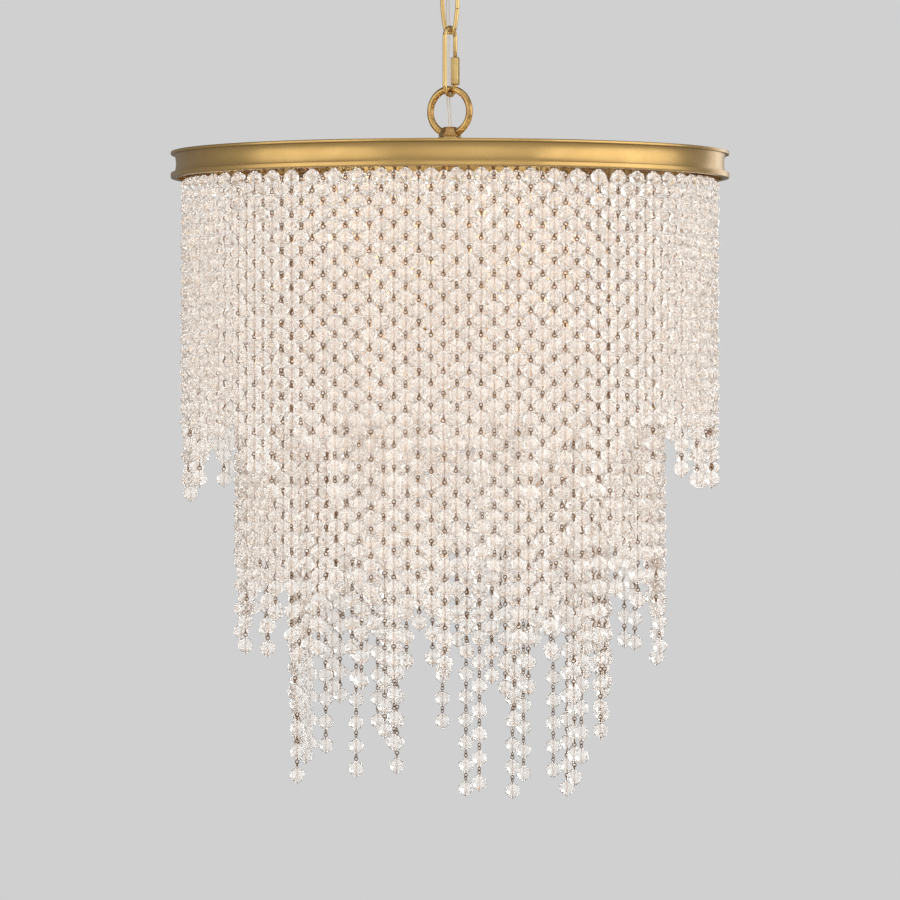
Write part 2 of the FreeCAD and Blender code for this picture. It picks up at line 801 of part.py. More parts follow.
def build():
    """Makes every node of the chandelier."""
    os.makedirs("parts", exist_ok=True)
    save("crossbar", crossbar())
    save("threaded_pipe", threaded_pipe())
    save("lock_nut", lock_nut())
    save("canopy_loop", canopy_loop())
    save("canopy", canopy())
    save("canopy_ring_nut", canopy_ring_nut())
    save("upper_chain_link", upper_chain_link())
    save("lower_chain_link", lower_chain_link())
    save("quick_link", quick_link())
    save("quick_link_sleeve", quick_link_sleeve())
    save("hanging_loop", hanging_loop())
    save("centre_rod", centre_rod())
    save("rod_nuts", rod_nuts())
    save("top_spider", top_spider())
    save("drum_band", drum_band())
    save("outer_bead_ring", bead_ring(outer_tier_radius))
    save("middle_bead_ring", bead_ring(middle_tier_radius))
    save("inner_bead_ring", bead_ring(inner_tier_radius))
    save("column_tube", column_tube())
    save("light_hub", light_hub())
    save("hub_cover", hub_cover())
    save("bottom_finial", bottom_finial())
    save("lamp_arms", lamp_arms())
    save("socket_cups", socket_cups())
    save("sockets", sockets())
    save("supply_cord", supply_cord())
    for number, bulb in enumerate(round_the_axis(candle_bulb(), lamp_count), 1):
        save("bulb_%d" % number, bulb)
    tiers = (
        ("outer", outer_tier_radius, outer_tier_strands, outer_longest, outer_lack, outer_draw),
        ("middle", middle_tier_radius, middle_tier_strands, middle_longest, middle_lack, middle_draw),
        ("inner", inner_tier_radius, inner_tier_strands, inner_longest, inner_lack, inner_draw),
    )
    for tier, radius, count, longest, lack, draw in tiers:
        counts = bead_counts(count, longest, lack, draw)
        print("beads %s %d" % (tier, sum(counts)))
        for sector in range(sectors_per_tier):
            save("%s_strands_%d" % (tier, sector + 1), strand_sector(tier, radius, counts, sector))
    for name in ("canopy_loop_bow_z", "upper_link_bow_z", "lower_link_bow_z", "quick_link_bow_z",
                 "hanging_loop_top_z", "loop_base_bottom_z", "band_top_z", "band_bottom_z",
                 "hook_z", "hub_top_z", "arm_z", "cover_bottom_z", "thread_bottom_z"):
        print("%s %.4f" % (name, globals()[name]))


build()
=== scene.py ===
import logging
import random
from dataclasses import dataclass
from enum import Enum
from math import asin, ceil, cos, degrees, pi, radians, sin, sqrt

import bmesh
import bpy
from mathutils import Matrix, Vector


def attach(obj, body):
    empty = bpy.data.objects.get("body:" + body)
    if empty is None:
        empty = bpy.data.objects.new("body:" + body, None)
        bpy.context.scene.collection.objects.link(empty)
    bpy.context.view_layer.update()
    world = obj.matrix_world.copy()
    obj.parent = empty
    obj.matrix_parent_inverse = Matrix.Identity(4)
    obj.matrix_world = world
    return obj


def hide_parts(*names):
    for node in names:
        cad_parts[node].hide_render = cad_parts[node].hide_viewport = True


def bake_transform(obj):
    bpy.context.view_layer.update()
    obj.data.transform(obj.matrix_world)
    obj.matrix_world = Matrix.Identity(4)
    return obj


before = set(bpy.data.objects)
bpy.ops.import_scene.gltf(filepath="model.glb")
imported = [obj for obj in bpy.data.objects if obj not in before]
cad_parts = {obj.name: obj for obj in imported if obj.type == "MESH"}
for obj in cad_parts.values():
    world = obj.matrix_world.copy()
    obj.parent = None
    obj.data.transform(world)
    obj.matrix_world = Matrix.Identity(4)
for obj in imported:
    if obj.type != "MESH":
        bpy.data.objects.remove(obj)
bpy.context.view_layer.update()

# A drum chandelier with three concentric curtains of glass bead strands on a short chain.
# Sizes are in millimetres and headings in degrees. A finished mesh is in metres, in the CAD's frame.

log = logging.getLogger("chandelier")

MM = 0.001
UP = Vector((0, 0, 1))

# Edges that turn by more than this get a bevel, and by more than that stay sharp to the eye
BEVEL_FROM = radians(28)
SHARP_FROM = radians(38)
BEVEL_SEGMENTS = 2

# A CAD copy's corners nearer than this are one corner, and its faces this near to flat are one face
SAME_CORNER = 0.01
SAME_PLANE = radians(1)

# A node's input value: a number, or the output of another node
Number = float | bpy.types.NodeSocket


class Slot(Enum):
    """Material slots of the record that a piece takes its finish from."""

    BRASS = "satin_brass"
    STEEL = "zinc_steel"
    BEAD = "bead_glass"
    BULB = "bulb_glass"
    HOLDER = "lamp_holder_white"
    CORD = "clear_cord"


class Grain(Enum):
    """How a metal's fine surface marks lie."""

    TURNED = (0.03, 0.03, 1.0)
    CAST = (1.0, 1.0, 1.0)


# Node and colour helpers

def linear(colour: str) -> tuple[float, float, float, float]:
    """Turns an sRGB colour written as #RRGGBB into linear RGBA.

    Args:
        colour: Colour as six hexadecimal digits after a hash.

    Returns:
        Red, green, blue and alpha as Blender's shader sockets take them.
    """
    channels = []
    for start in (1, 3, 5):
        value = int(colour[start:start + 2], 16) / 255
        channels.append(value / 12.92 if value <= 0.04045 else ((value + 0.055) / 1.055) ** 2.4)
    return (channels[0], channels[1], channels[2], 1.0)


def per_metre(size: float) -> float:
    """Noise scale that gives marks of a size in millimetres."""
    return 1 / (size * MM)


def add_node(tree: bpy.types.NodeTree, kind: str, inputs: dict | None = None, **settings) -> bpy.types.Node:
    """Adds one node to a tree, with its settings and inputs.

    Args:
        tree: Tree that gets the node.
        kind: Blender's name for the node's type.
        inputs: Values by input name or index. An output socket is linked, anything else is set.
        settings: Properties of the node.

    Returns:
        The new node.
    """
    node = tree.nodes.new(kind)
    for name, value in settings.items():
        setattr(node, name, value)
    for key, value in (inputs or {}).items():
        if isinstance(value, bpy.types.NodeSocket):
            tree.links.new(value, node.inputs[key])
        else:
            node.inputs[key].default_value = value
    return node


def calculated(tree: bpy.types.NodeTree, operation: str, first: Number,
               second: Number) -> bpy.types.NodeSocket:
    """Output of one math node over two values or sockets.

    Args:
        tree: Tree that gets the nodes.
        operation: Blender's name for the sum.
        first: First value.
        second: Second value.

    Returns:
        The node's output.
    """
    return add_node(tree, "ShaderNodeMath", {0: first, 1: second}, operation=operation).outputs[0]


def new_material(name: str) -> tuple[bpy.types.Material, bpy.types.NodeTree, bpy.types.Node]:
    """Starts a material of one Principled shader.

    Args:
        name: What the material is.

    Returns:
        The material, its node tree and its Principled node.
    """
    material = bpy.data.materials.new(name)
    material.use_nodes = True
    tree = material.node_tree
    return material, tree, tree.nodes["Principled BSDF"]


# Finishes

@dataclass(frozen=True)
class Metal:
    """Metal with fine surface marks and uneven patches of a second colour: tarnish on most metals, a painted
    reflection on the hanging loop.
    """

    name: str
    clean: str
    tarnish_and_reflection: str
    roughness: float
    grain: Grain = Grain.CAST
    tarnish_and_reflection_size: float = 22.0
    tarnish_and_reflection_share: float = 0.5
    mark_size: float = 0.5
    mark_depth: float = 0.012
    coat: float = 0.0

    def material(self) -> bpy.types.Material:
        """Builds the metal's material.

        Returns:
            Metallic material with its patches in its colour and roughness, and marks in its bump.
        """
        material, tree, shader = new_material(self.name)
        place = add_node(tree, "ShaderNodeTexCoord").outputs["Object"]
        cloud = add_node(tree, "ShaderNodeTexNoise", {
            "Vector": place, "Scale": per_metre(self.tarnish_and_reflection_size), "Detail": 5.0, "Roughness": 0.6,
        })
        share = add_node(tree, "ShaderNodeMapRange", {
            "Value": cloud.outputs["Fac"], "From Min": 0.35, "From Max": 0.75, "To Max": self.tarnish_and_reflection_share,
        })
        # The second colour is tarnish, except on the hanging loop, where it is a painted reflection
        colour = add_node(tree, "ShaderNodeMix", {
            "Factor": share.outputs[0], "A": linear(self.clean), "B": linear(self.tarnish_and_reflection),
        }, data_type="RGBA")
        stretched = add_node(tree, "ShaderNodeMapping", {"Vector": place, "Scale": self.grain.value})
        marks = add_node(tree, "ShaderNodeTexNoise", {
            "Vector": stretched.outputs[0], "Scale": per_metre(self.mark_size), "Detail": 3.0,
        })
        dullness = add_node(tree, "ShaderNodeMapRange", {
            "Value": cloud.outputs["Fac"], "From Min": 0.3, "From Max": 0.8,
            "To Min": self.roughness * 0.85, "To Max": self.roughness * 1.3,
        })
        bump = add_node(tree, "ShaderNodeBump", {
            "Height": marks.outputs["Fac"], "Distance": self.mark_depth * MM, "Strength": 1.0,
        })
        tree.links.new(colour.outputs["Result"], shader.inputs["Base Color"])
        tree.links.new(dullness.outputs[0], shader.inputs["Roughness"])
        tree.links.new(bump.outputs[0], shader.inputs["Normal"])
        shader.inputs["Metallic"].default_value = 1.0
        shader.inputs["Coat Weight"].default_value = self.coat
        shader.inputs["Coat Roughness"].default_value = 0.2
        return material


@dataclass(frozen=True)
class Clear:
    """Clear see-through stuff: glass or soft plastic.

    The glimmer stands for light that many facets catch and pass on. It fades between two heights,
    because only the beads near the lamps get it in full.
    """

    name: str
    bright: str
    shaded: str
    roughness: float
    ior: float
    transmission: float
    cloud_size: float
    glimmer: float = 0.0
    glimmer_colour: str = "#FFEDDB"
    glimmer_top: float = -620.0
    glimmer_bottom: float = -790.0
    glimmer_low_share: float = 0.3

    def material(self) -> bpy.types.Material:
        """Builds the see-through material.

        Returns:
            Transmissive material whose colour and roughness drift, with its glimmer if it has one.
        """
        material, tree, shader = new_material(self.name)
        place = add_node(tree, "ShaderNodeTexCoord").outputs["Object"]
        cloud = add_node(tree, "ShaderNodeTexNoise", {
            "Vector": place, "Scale": per_metre(self.cloud_size), "Detail": 2.0,
        })
        colour = add_node(tree, "ShaderNodeMix", {
            "Factor": cloud.outputs["Fac"], "A": linear(self.bright), "B": linear(self.shaded),
        }, data_type="RGBA")
        dullness = add_node(tree, "ShaderNodeMapRange", {
            "Value": cloud.outputs["Fac"], "To Min": self.roughness * 0.5, "To Max": self.roughness * 1.5,
        })
        tree.links.new(colour.outputs["Result"], shader.inputs["Base Color"])
        tree.links.new(dullness.outputs[0], shader.inputs["Roughness"])
        shader.inputs["IOR"].default_value = self.ior
        shader.inputs["Transmission Weight"].default_value = self.transmission
        # Painted glow: emission for lamp light that the facets pass on, strongest high up near the lamps
        if self.glimmer:
            height = add_node(tree, "ShaderNodeSeparateXYZ", {0: place}).outputs["Z"]
            lit = add_node(tree, "ShaderNodeMapRange", {
                "Value": height, "From Min": self.glimmer_bottom * MM, "From Max": self.glimmer_top * MM,
                "To Min": self.glimmer * self.glimmer_low_share, "To Max": self.glimmer,
            })
            tree.links.new(lit.outputs[0], shader.inputs["Emission Strength"])
            shader.inputs["Emission Color"].default_value = linear(self.glimmer_colour)
        return material


@dataclass(frozen=True)
class Plastic:
    """Moulded or painted stuff with a faint orange-peel skin."""

    name: str
    light: str
    dark: str
    roughness: float
    skin_size: float = 1.2
    skin_depth: float = 0.02
    drift_share: float = 40.0

    def material(self) -> bpy.types.Material:
        """Builds the opaque material with its soft skin.

        Returns:
            Opaque material whose colour drifts a little.
        """
        material, tree, shader = new_material(self.name)
        place = add_node(tree, "ShaderNodeTexCoord").outputs["Object"]
        skin = add_node(tree, "ShaderNodeTexNoise", {"Vector": place, "Scale": per_metre(self.skin_size)})
        drift_size = self.skin_size * self.drift_share
        drift = add_node(tree, "ShaderNodeTexNoise", {"Vector": place, "Scale": per_metre(drift_size)})
        colour = add_node(tree, "ShaderNodeMix", {
            "Factor": drift.outputs["Fac"], "A": linear(self.light), "B": linear(self.dark),
        }, data_type="RGBA")
        bump = add_node(tree, "ShaderNodeBump", {
            "Height": skin.outputs["Fac"], "Distance": self.skin_depth * MM, "Strength": 1.0,
        })
        tree.links.new(colour.outputs["Result"], shader.inputs["Base Color"])
        tree.links.new(bump.outputs[0], shader.inputs["Normal"])
        shader.inputs["Roughness"].default_value = self.roughness
        return material


@dataclass(frozen=True)
class Glow:
    """Hot filament that shines by itself."""

    name: str
    colour: str
    strength: float
    patch_size: float = 6.0

    def material(self) -> bpy.types.Material:
        """Builds the emissive material, a little hotter in patches along the wire.

        Returns:
            Emissive material.
        """
        material, tree, shader = new_material(self.name)
        place = add_node(tree, "ShaderNodeTexCoord").outputs["Object"]
        patches = add_node(tree, "ShaderNodeTexNoise", {"Vector": place, "Scale": per_metre(self.patch_size)})
        heat = add_node(tree, "ShaderNodeMapRange", {
            "Value": patches.outputs["Fac"], "To Min": self.strength * 0.7, "To Max": self.strength * 1.3,
        })
        tree.links.new(heat.outputs[0], shader.inputs["Emission Strength"])
        shader.inputs["Base Color"].default_value = linear(self.colour)
        shader.inputs["Emission Color"].default_value = linear(self.colour)
        return material


class Finishes:
    """Every material of the chandelier, made once and shared."""

    def __init__(self) -> None:
        # Satin brass under thin lacquer: warm gold with wide browner clouds and soft highlights
        self.band_brass = Metal(
            "satin_brass_turned", "#D2AE6D", "#A8824B", 0.27, grain=Grain.TURNED, tarnish_and_reflection_size=60.0,
            tarnish_and_reflection_share=0.45, mark_size=0.35, mark_depth=0.006, coat=0.2,
        ).material()
        # Lacquered brass of the cast and bent hardware: brighter gold with small browner spots
        self.cast_brass = Metal(
            "antique_brass_cast", "#DDBF7E", "#A5804D", 0.22, tarnish_and_reflection_size=14.0, mark_depth=0.002, coat=0.5,
        ).material()
        # The same brass with large copper-red patches in its colour, placed at random: a painted reflection
        # of warm light
        self.loop_brass = Metal(
            "brass_painted_copper_reflection", "#D9B873", "#84502C", 0.25, tarnish_and_reflection_size=18.0, tarnish_and_reflection_share=0.9,
            mark_depth=0.002, coat=0.3,
        ).material()
        # Eye pin wire, brass darkened in its colour: painted shade for the dark reflections that draw the
        # brown loops between the beads
        self.pin_brass = Metal("brass_wire_painted_dark", "#9C7750", "#634731", 0.35, tarnish_and_reflection_size=14.0).material()
        # Zinc-plated steel of the ceiling hardware: cool grey, slightly blotched
        self.zinc = Metal("zinc_plated_steel", "#B9BCBE", "#8E9294", 0.35, tarnish_and_reflection_size=7.0).material()
        # Cut crystal: clear facets that sparkle, with a faint warm glow painted in as emission for the lamp
        # light that the beads pass on
        self.crystal = Clear(
            "cut_crystal", "#FFFFFF", "#F9F5F2", roughness=0.02, ior=1.5, transmission=0.9, cloud_size=30.0,
            glimmer=0.05,
        ).material()
        # Thin clear bulb glass with a little amber painted into its colour for the light inside, which hardly
        # bends what is behind it
        self.bulb_glass = Clear(
            "clear_bulb_glass", "#FFF7EA", "#FFF1DC", roughness=0.02, ior=1.15, transmission=1.0,
            cloud_size=20.0,
        ).material()
        # Clear flexible PVC, nearly invisible against the wall
        self.clear_pvc = Clear(
            "clear_pvc", "#F4F3F1", "#EBEAE7", roughness=0.03, ior=1.05, transmission=1.0, cloud_size=15.0,
        ).material()
        # Tinned copper strands, two thin brownish lines inside the clear cord
        self.conductor = Metal("tinned_copper", "#B79F86", "#9A8068", 0.35, tarnish_and_reflection_size=4.0).material()
        # Moulded candle sleeve: ivory white with a soft sheen
        self.holder = Plastic("moulded_white_plastic", "#F1ECE1", "#E6DFD0", 0.35).material()
        # Glowing filament of a warm lamp
        self.filament = Glow("warm_filament", "#FFB765", 5.0).material()
        # Matt studio floor that the room's light turns pale
        self.floor = Plastic(
            "matt_pale_floor", "#AEADAB", "#A7A6A4", 0.85, skin_size=4.0, skin_depth=0.01,
        ).material()


# Shapes

def on_circle(radius: float, heading: float, z: float = 0.0) -> Vector:
    """Point at a radius and a heading round the vertical axis."""
    return Vector((radius * cos(radians(heading)), radius * sin(radians(heading)), z))


def arc(centre: Vector, radius: float, start: float, sweep: float, steps: int) -> list[Vector]:
    """Points of an arc in the XZ plane, its two ends included.

    Args:
        centre: The arc's centre.
        radius: Its radius.
        start: Heading of the first point, from +X towards +Z.
        sweep: Angle from the first point to the last.
        steps: Stretches between the points.

    Returns:
        The points in order.
    """
    points = []
    for step in range(steps + 1):
        angle = radians(start + sweep * step / steps)
        points.append(centre + Vector((cos(angle), 0, sin(angle))) * radius)
    return points


def circle(radius: float, sides: int, across: float = 0.0) -> list[tuple[float, float]]:
    """Flat outline of a round section, moved sideways where it is one of a pair."""
    angles = [2 * pi * (side + 0.5) / sides for side in range(sides)]
    return [(across + radius * cos(angle), radius * sin(angle)) for angle in angles]


def flowing(points: list[tuple[float, float]], steps: int) -> list[tuple[float, float]]:
    """Smooth profile through the given points.

    Args:
        points: Radius and height of each point that the profile passes.
        steps: Points on each stretch between two of them.

    Returns:
        The points of a Catmull-Rom line through them.
    """
    padded = [Vector(points[0])] + [Vector(point) for point in points] + [Vector(points[-1])]
    line = []
    for before, here, there, after in zip(padded, padded[1:], padded[2:], padded[3:]):
        for step in range(steps):
            t = step / steps
            bend = (here * 3 - before - there * 3 + after) * t ** 3
            sag = (before * 2 - here * 5 + there * 4 - after) * t ** 2
            point = (here * 2 + (there - before) * t + sag + bend) * 0.5
            line.append((point.x, point.y))
    line.append(tuple(points[-1]))
    return line


def ridged(radius: float, depth: float, top: float, bottom: float, pitch: float) -> list[tuple[float, float]]:
    """Profile of a screw thread from its top down, as fine ridges.

    Args:
        radius: Radius of the ridges.
        depth: Depth of the grooves between them.
        top: Height of the upper end.
        bottom: Height of the lower end.
        pitch: Height of one ridge, about, since only whole ridges are made.

    Returns:
        Radius and height of each point.
    """
    count = max(1, round((top - bottom) / pitch))
    step = (top - bottom) / count
    profile = []
    for ridge in range(count):
        profile.append((radius - depth, top - ridge * step))
        profile.append((radius, top - (ridge + 0.5) * step))
    profile.append((radius - depth, bottom))
    return profile


def sections_along(path: list[Vector], outline: list[tuple[float, float]], closed: bool,
                   swell: list[float] | None = None, across: Vector | None = None) -> list[list[Vector]]:
    """Copies an outline to every point of a path, square to it and without twist.

    Args:
        path: Points of the path.
        outline: Flat section as pairs of numbers.
        closed: Whether the path's end meets its start.
        swell: Scale of the section at each point.
        across: Direction of the outline's first axis at the start.

    Returns:
        One ring of points for each point of the path.
    """
    count = len(path)
    rings = []
    side = None
    for i, point in enumerate(path):
        before = path[i - 1] if closed or i > 0 else path[i]
        after = path[(i + 1) % count] if closed or i < count - 1 else path[i]
        along = (after - before).normalized()
        if side is None:
            side = across or along.cross(Vector((0, 1, 0)))
        side = (side - along * side.dot(along)).normalized()
        upright = along.cross(side)
        scale = swell[i] if swell else 1.0
        rings.append([point + (side * x + upright * y) * scale for x, y in outline])
    return rings


class Shape:
    """Closed surfaces in millimetres, gathered until they become one mesh piece."""

    def __init__(self) -> None:
        self.points: list[Vector] = []
        self.faces: list[tuple[int, ...]] = []

    def loft(self, rings: list[list[Vector]], closed: bool = False) -> "Shape":
        """Skins rings of points.

        Args:
            rings: Rings with the same number of points.
            closed: Whether the last ring joins the first. Otherwise both ends are capped.

        Returns:
            This shape.
        """
        first = len(self.points)
        sides = len(rings[0])
        count = len(rings)
        for ring in rings:
            self.points += ring
        for span in range(count if closed else count - 1):
            here = first + span * sides
            there = first + (span + 1) % count * sides
            for j in range(sides):
                k = (j + 1) % sides
                self.faces.append((here + j, here + k, there + k, there + j))
        if not closed:
            self.faces.append(tuple(range(first, first + sides)))
            self.faces.append(tuple(range(first + (count - 1) * sides, first + count * sides)))
        return self

    def turning(self, profile: list[tuple[float, float]], sides: int, closed: bool = False) -> "Shape":
        """Adds a turned form on the vertical axis.

        Args:
            profile: Radius and height of each point of the half profile.
            sides: Points round the axis.
            closed: Whether the profile runs back to its start, as a tube's or a hoop's does.

        Returns:
            This shape.
        """
        rings = []
        for radius, z in profile:
            rings.append([on_circle(radius, 360 * side / sides, z) for side in range(sides)])
        return self.loft(rings, closed)

    def sweep(self, path: list[Vector], radius: float, sides: int, closed: bool = False,
              swell: list[float] | None = None) -> "Shape":
        """Adds round wire or tube along a path."""
        return self.loft(sections_along(path, circle(radius, sides), closed, swell), closed)

    def moved(self, matrix: Matrix) -> "Shape":
        """Moves or turns everything in this shape."""
        self.points = [matrix @ point for point in self.points]
        return self

    def turned(self, heading: float) -> "Shape":
        """Turns this shape round the vertical axis."""
        return self.moved(Matrix.Rotation(radians(heading), 4, "Z"))

    def joined(self, other: "Shape") -> "Shape":
        """Adds another shape's surfaces to this one.

        Args:
            other: The other shape.

        Returns:
            This shape.
        """
        first = len(self.points)
        self.points += other.points
        self.faces += [tuple(first + corner for corner in face) for face in other.faces]
        return self

    def round_the_axis(self, count: int) -> "Shape":
        """Shape made of equal copies of this one round the vertical axis.

        Args:
            count: Number of copies.

        Returns:
            The new shape.
        """
        whole = Shape()
        for copy in range(count):
            turn = Matrix.Rotation(2 * pi * copy / count, 4, "Z")
            part = Shape()
            part.points = [turn @ point for point in self.points]
            part.faces = self.faces
            whole.joined(part)
        return whole

    def piece(self, name: str, material: bpy.types.Material, edge: float = 0.0) -> bpy.types.Object:
        """Makes the finished mesh object.

        Args:
            name: The piece's name.
            material: The piece's material.
            edge: Width of the bevel on its sharp edges.

        Returns:
            Object at the origin with its mesh in metres.
        """
        mesh = bpy.data.meshes.new(name)
        mesh.from_pydata([point * MM for point in self.points], [], self.faces)
        return finished(name, mesh, material, edge)


def turned_piece(name: str, profile: list[tuple[float, float]], sides: int,
                 material: bpy.types.Material, edge: float = 0.0) -> bpy.types.Object:
    """Makes a turned piece whose profile runs back to its start.

    Args:
        name: The piece's name.
        profile: Radius and height of each point of the half profile.
        sides: Points round the axis.
        material: The piece's material.
        edge: Width of the bevel on its sharp edges.

    Returns:
        The piece.
    """
    return Shape().turning(profile, sides, closed=True).piece(name, material, edge)


def finished(name: str, mesh: bpy.types.Mesh, material: bpy.types.Material, edge: float) -> bpy.types.Object:
    """Turns a mesh's faces outwards, bevels its sharp edges and makes its object.

    Args:
        name: The piece's name.
        mesh: Closed mesh in metres.
        material: The piece's material.
        edge: Width of the bevel on sharp edges in millimetres, or 0 for none.

    Returns:
        The piece, linked to the scene.
    """
    work = bmesh.new()
    work.from_mesh(mesh)
    bmesh.ops.recalc_face_normals(work, faces=work.faces)
    if edge:
        sharp = [e for e in work.edges if e.is_manifold and e.calc_face_angle() > BEVEL_FROM]
        bmesh.ops.bevel(
            work, geom=sharp, offset=edge * MM, segments=BEVEL_SEGMENTS, profile=0.5, affect="EDGES",
            clamp_overlap=True,
        )
    work.to_mesh(mesh)
    work.free()
    mesh.shade_smooth()
    mesh.set_sharp_from_angle(angle=SHARP_FROM)
    mesh.materials.clear()
    mesh.materials.append(material)
    piece = bpy.data.objects.new(name, mesh)
    bpy.context.scene.collection.objects.link(piece)
    return piece


def softened_copy(node: str, name: str, material: bpy.types.Material, edge: float) -> bpy.types.Object:
    """Copies a CAD node, merges its split corners and rounds its sharp edges.

    Args:
        node: Name of the CAD node.
        name: Name of the new piece.
        material: The new piece's material.
        edge: Width of the bevel in millimetres.

    Returns:
        The new piece.
    """
    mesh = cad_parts[node].data.copy()
    mesh.name = name
    work = bmesh.new()
    work.from_mesh(mesh)
    bmesh.ops.remove_doubles(work, verts=work.verts, dist=SAME_CORNER * MM)
    bmesh.ops.dissolve_limit(work, angle_limit=SAME_PLANE, verts=work.verts, edges=work.edges)
    work.to_mesh(mesh)
    work.free()
    return finished(name, mesh, material, edge)


def place(piece: bpy.types.Object, body: str, slot: Slot, *nodes: str) -> None:
    """Fastens a finished piece to its body.

    Args:
        piece: The finished piece.
        body: Body of the record that it rides on.
        slot: Record slot of its material. Not used.
        nodes: CAD nodes that the piece stands for.
    """
    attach(piece, body)
    if nodes:
        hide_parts(*nodes)
    log.info("%s rides on %s", piece.name, body)


# Sizes

@dataclass(frozen=True)
class CeilingSizes:
    """Canopy, its fixings and the loop under it."""

    strap_edge: float = 0.4
    lock_nut_edge: float = 0.5
    pipe_diameter: float = 10.0
    pipe_bore: float = 7.0
    pipe_thread_depth: float = 0.45
    pipe_thread_pitch: float = 1.0
    thread_engagement: float = 8.0
    canopy_diameter: float = 127.0
    canopy_depth: float = 28.0
    canopy_wall: float = 1.0
    canopy_rim_height: float = 4.0
    canopy_neck_diameter: float = 46.0
    canopy_hole_clearance: float = 0.5
    ring_nut_diameter: float = 36.0
    ring_nut_height: float = 6.0
    ring_nut_clearance: float = 0.3
    ring_nut_chamfer: float = 1.3
    knurl_inset: float = 0.2
    knurl_share: float = 0.975
    thread_diameter: float = 24.0
    thread_height: float = 16.0
    thread_depth: float = 0.5
    thread_pitch: float = 1.5
    thread_below_ring_nut: float = 1.3
    loop_width: float = 22.0
    loop_wire: float = 4.5
    loop_neck: float = 1.0
    loop_foot_angle: float = 24.0

    @property
    def thread_bottom(self) -> float:
        """Height of the collar's lower face."""
        return -self.canopy_depth - self.ring_nut_height - self.thread_below_ring_nut

    @property
    def thread_top(self) -> float:
        """Height of the collar's upper face."""
        return self.thread_bottom + self.thread_height

    @property
    def loop_radius(self) -> float:
        """Radius of the loop's middle line."""
        return (self.loop_width - self.loop_wire) / 2

    @property
    def loop_centre(self) -> float:
        """Height of the loop's centre."""
        return self.thread_bottom - self.loop_radius - self.loop_neck

    @property
    def loop_bow(self) -> float:
        """Height of the wire that the chain hangs on."""
        return self.loop_centre - self.loop_radius


@dataclass(frozen=True)
class ChainSizes:
    """Links between the canopy and the drum."""

    turn: float = -30.0
    clearance: float = 0.5
    wire: float = 4.0
    length: float = 65.5
    width: float = 20.0
    bow_radius: float = 5.0
    side_steps: int = 40
    bow_steps: int = 20
    seam_step: int = 13
    seam_half_width: float = 0.5
    seam_cut: float = 0.15
    seam_shoulder: float = 0.95
    seam_depth: float = 0.6
    quick_length: float = 65.6
    quick_width: float = 23.0
    quick_gap: float = 9.0
    quick_bend_steps: int = 40
    quick_thread_ridges: int = 16
    quick_thread_above_sleeve: float = 3.5
    quick_thread_root: float = 0.78
    quick_thread_crest: float = 0.9
    sleeve_length: float = 25.6
    sleeve_across_flats: float = 7.4
    sleeve_height_on_leg: float = 9.6
    sleeve_bore_clearance: float = 0.3
    sleeve_chamfer_width: float = 0.9
    sleeve_chamfer_height: float = 1.1
    sleeve_edge: float = 0.25
    ceiling: CeilingSizes = CeilingSizes()

    @property
    def upper_top(self) -> float:
        """Height of the upper link's top wire."""
        return self.ceiling.loop_bow + (self.ceiling.loop_wire + self.wire) / 2 + self.clearance

    @property
    def upper_bow(self) -> float:
        """Height of the upper link's bottom wire."""
        return self.upper_top - (self.length - self.wire)

    @property
    def lower_top(self) -> float:
        """Height of the lower link's top wire."""
        return self.upper_bow + self.wire + self.clearance

    @property
    def lower_bow(self) -> float:
        """Height of the lower link's bottom wire."""
        return self.lower_top - (self.length - self.wire)

    @property
    def quick_top(self) -> float:
        """Height of the quick link's top wire."""
        return self.lower_bow + self.wire + self.clearance

    @property
    def quick_bow(self) -> float:
        """Height of the quick link's bottom wire."""
        return self.quick_top - (self.quick_length - self.wire)

    @property
    def sleeve_bottom(self) -> float:
        """Height of the sleeve's lower end."""
        return self.quick_bow + self.sleeve_height_on_leg


@dataclass(frozen=True)
class DrumSizes:
    """Hanging loop, brass band and the hoops that the strands hook into."""

    loop_diameter: float = 47.2
    loop_wire: float = 6.3
    base_height: float = 9.0
    base_width: float = 21.0
    base_top_width: float = 12.6
    loop_overlap: float = 9.5
    loop_foot_angle: float = 21.0
    loop_steps: int = 72
    loop_foot_steps: int = 6
    loop_foot_swell: float = 0.12
    loop_edge: float = 0.3
    nuts_edge: float = 0.6
    spokes_edge: float = 0.5
    diameter: float = 508.0
    band_height: float = 22.8
    band_wall: float = 1.2
    band_rise: float = 1.5
    upper_lip_height: float = 3.1
    lower_lip_height: float = 5.2
    cove_depth: float = 4.7
    cove_hollow: float = 1.25
    cove_steps: int = 16
    lip_corner: float = 0.8
    lip_crown: float = 0.1
    below_loop: float = 15.5
    spoke_drop: float = 3.0
    spoke_thickness: float = 3.0
    ring_height: float = 8.0
    ring_wall: float = 2.0
    ring_corner: float = 0.4
    chain: ChainSizes = ChainSizes()

    @property
    def loop_radius(self) -> float:
        """Radius of the hanging loop's middle line."""
        return (self.loop_diameter - self.loop_wire) / 2

    @property
    def loop_top(self) -> float:
        """Height of the hanging loop's top wire."""
        return self.chain.quick_bow + (self.chain.wire + self.loop_wire) / 2 + self.chain.clearance

    @property
    def loop_centre(self) -> float:
        """Height of the hanging loop's centre."""
        return self.loop_top - self.loop_radius

    @property
    def base_top(self) -> float:
        """Height of the hexagon base's top."""
        return self.loop_centre - self.loop_radius + self.loop_overlap - self.loop_wire / 2

    @property
    def base_bottom(self) -> float:
        """Height of the hexagon base's foot."""
        return self.base_top - self.base_height

    @property
    def band_top(self) -> float:
        """Height of the band's upper edge."""
        return self.base_bottom - self.below_loop

    @property
    def band_bottom(self) -> float:
        """Height of the band's lower edge."""
        return self.band_top - self.band_height

    @property
    def spoke_bottom(self) -> float:
        """Height of the spokes' underside."""
        return self.band_top - self.spoke_drop - self.spoke_thickness

    @property
    def hook(self) -> float:
        """Height of the hoops' lower edge, where the strands hook in."""
        return self.spoke_bottom - self.ring_height


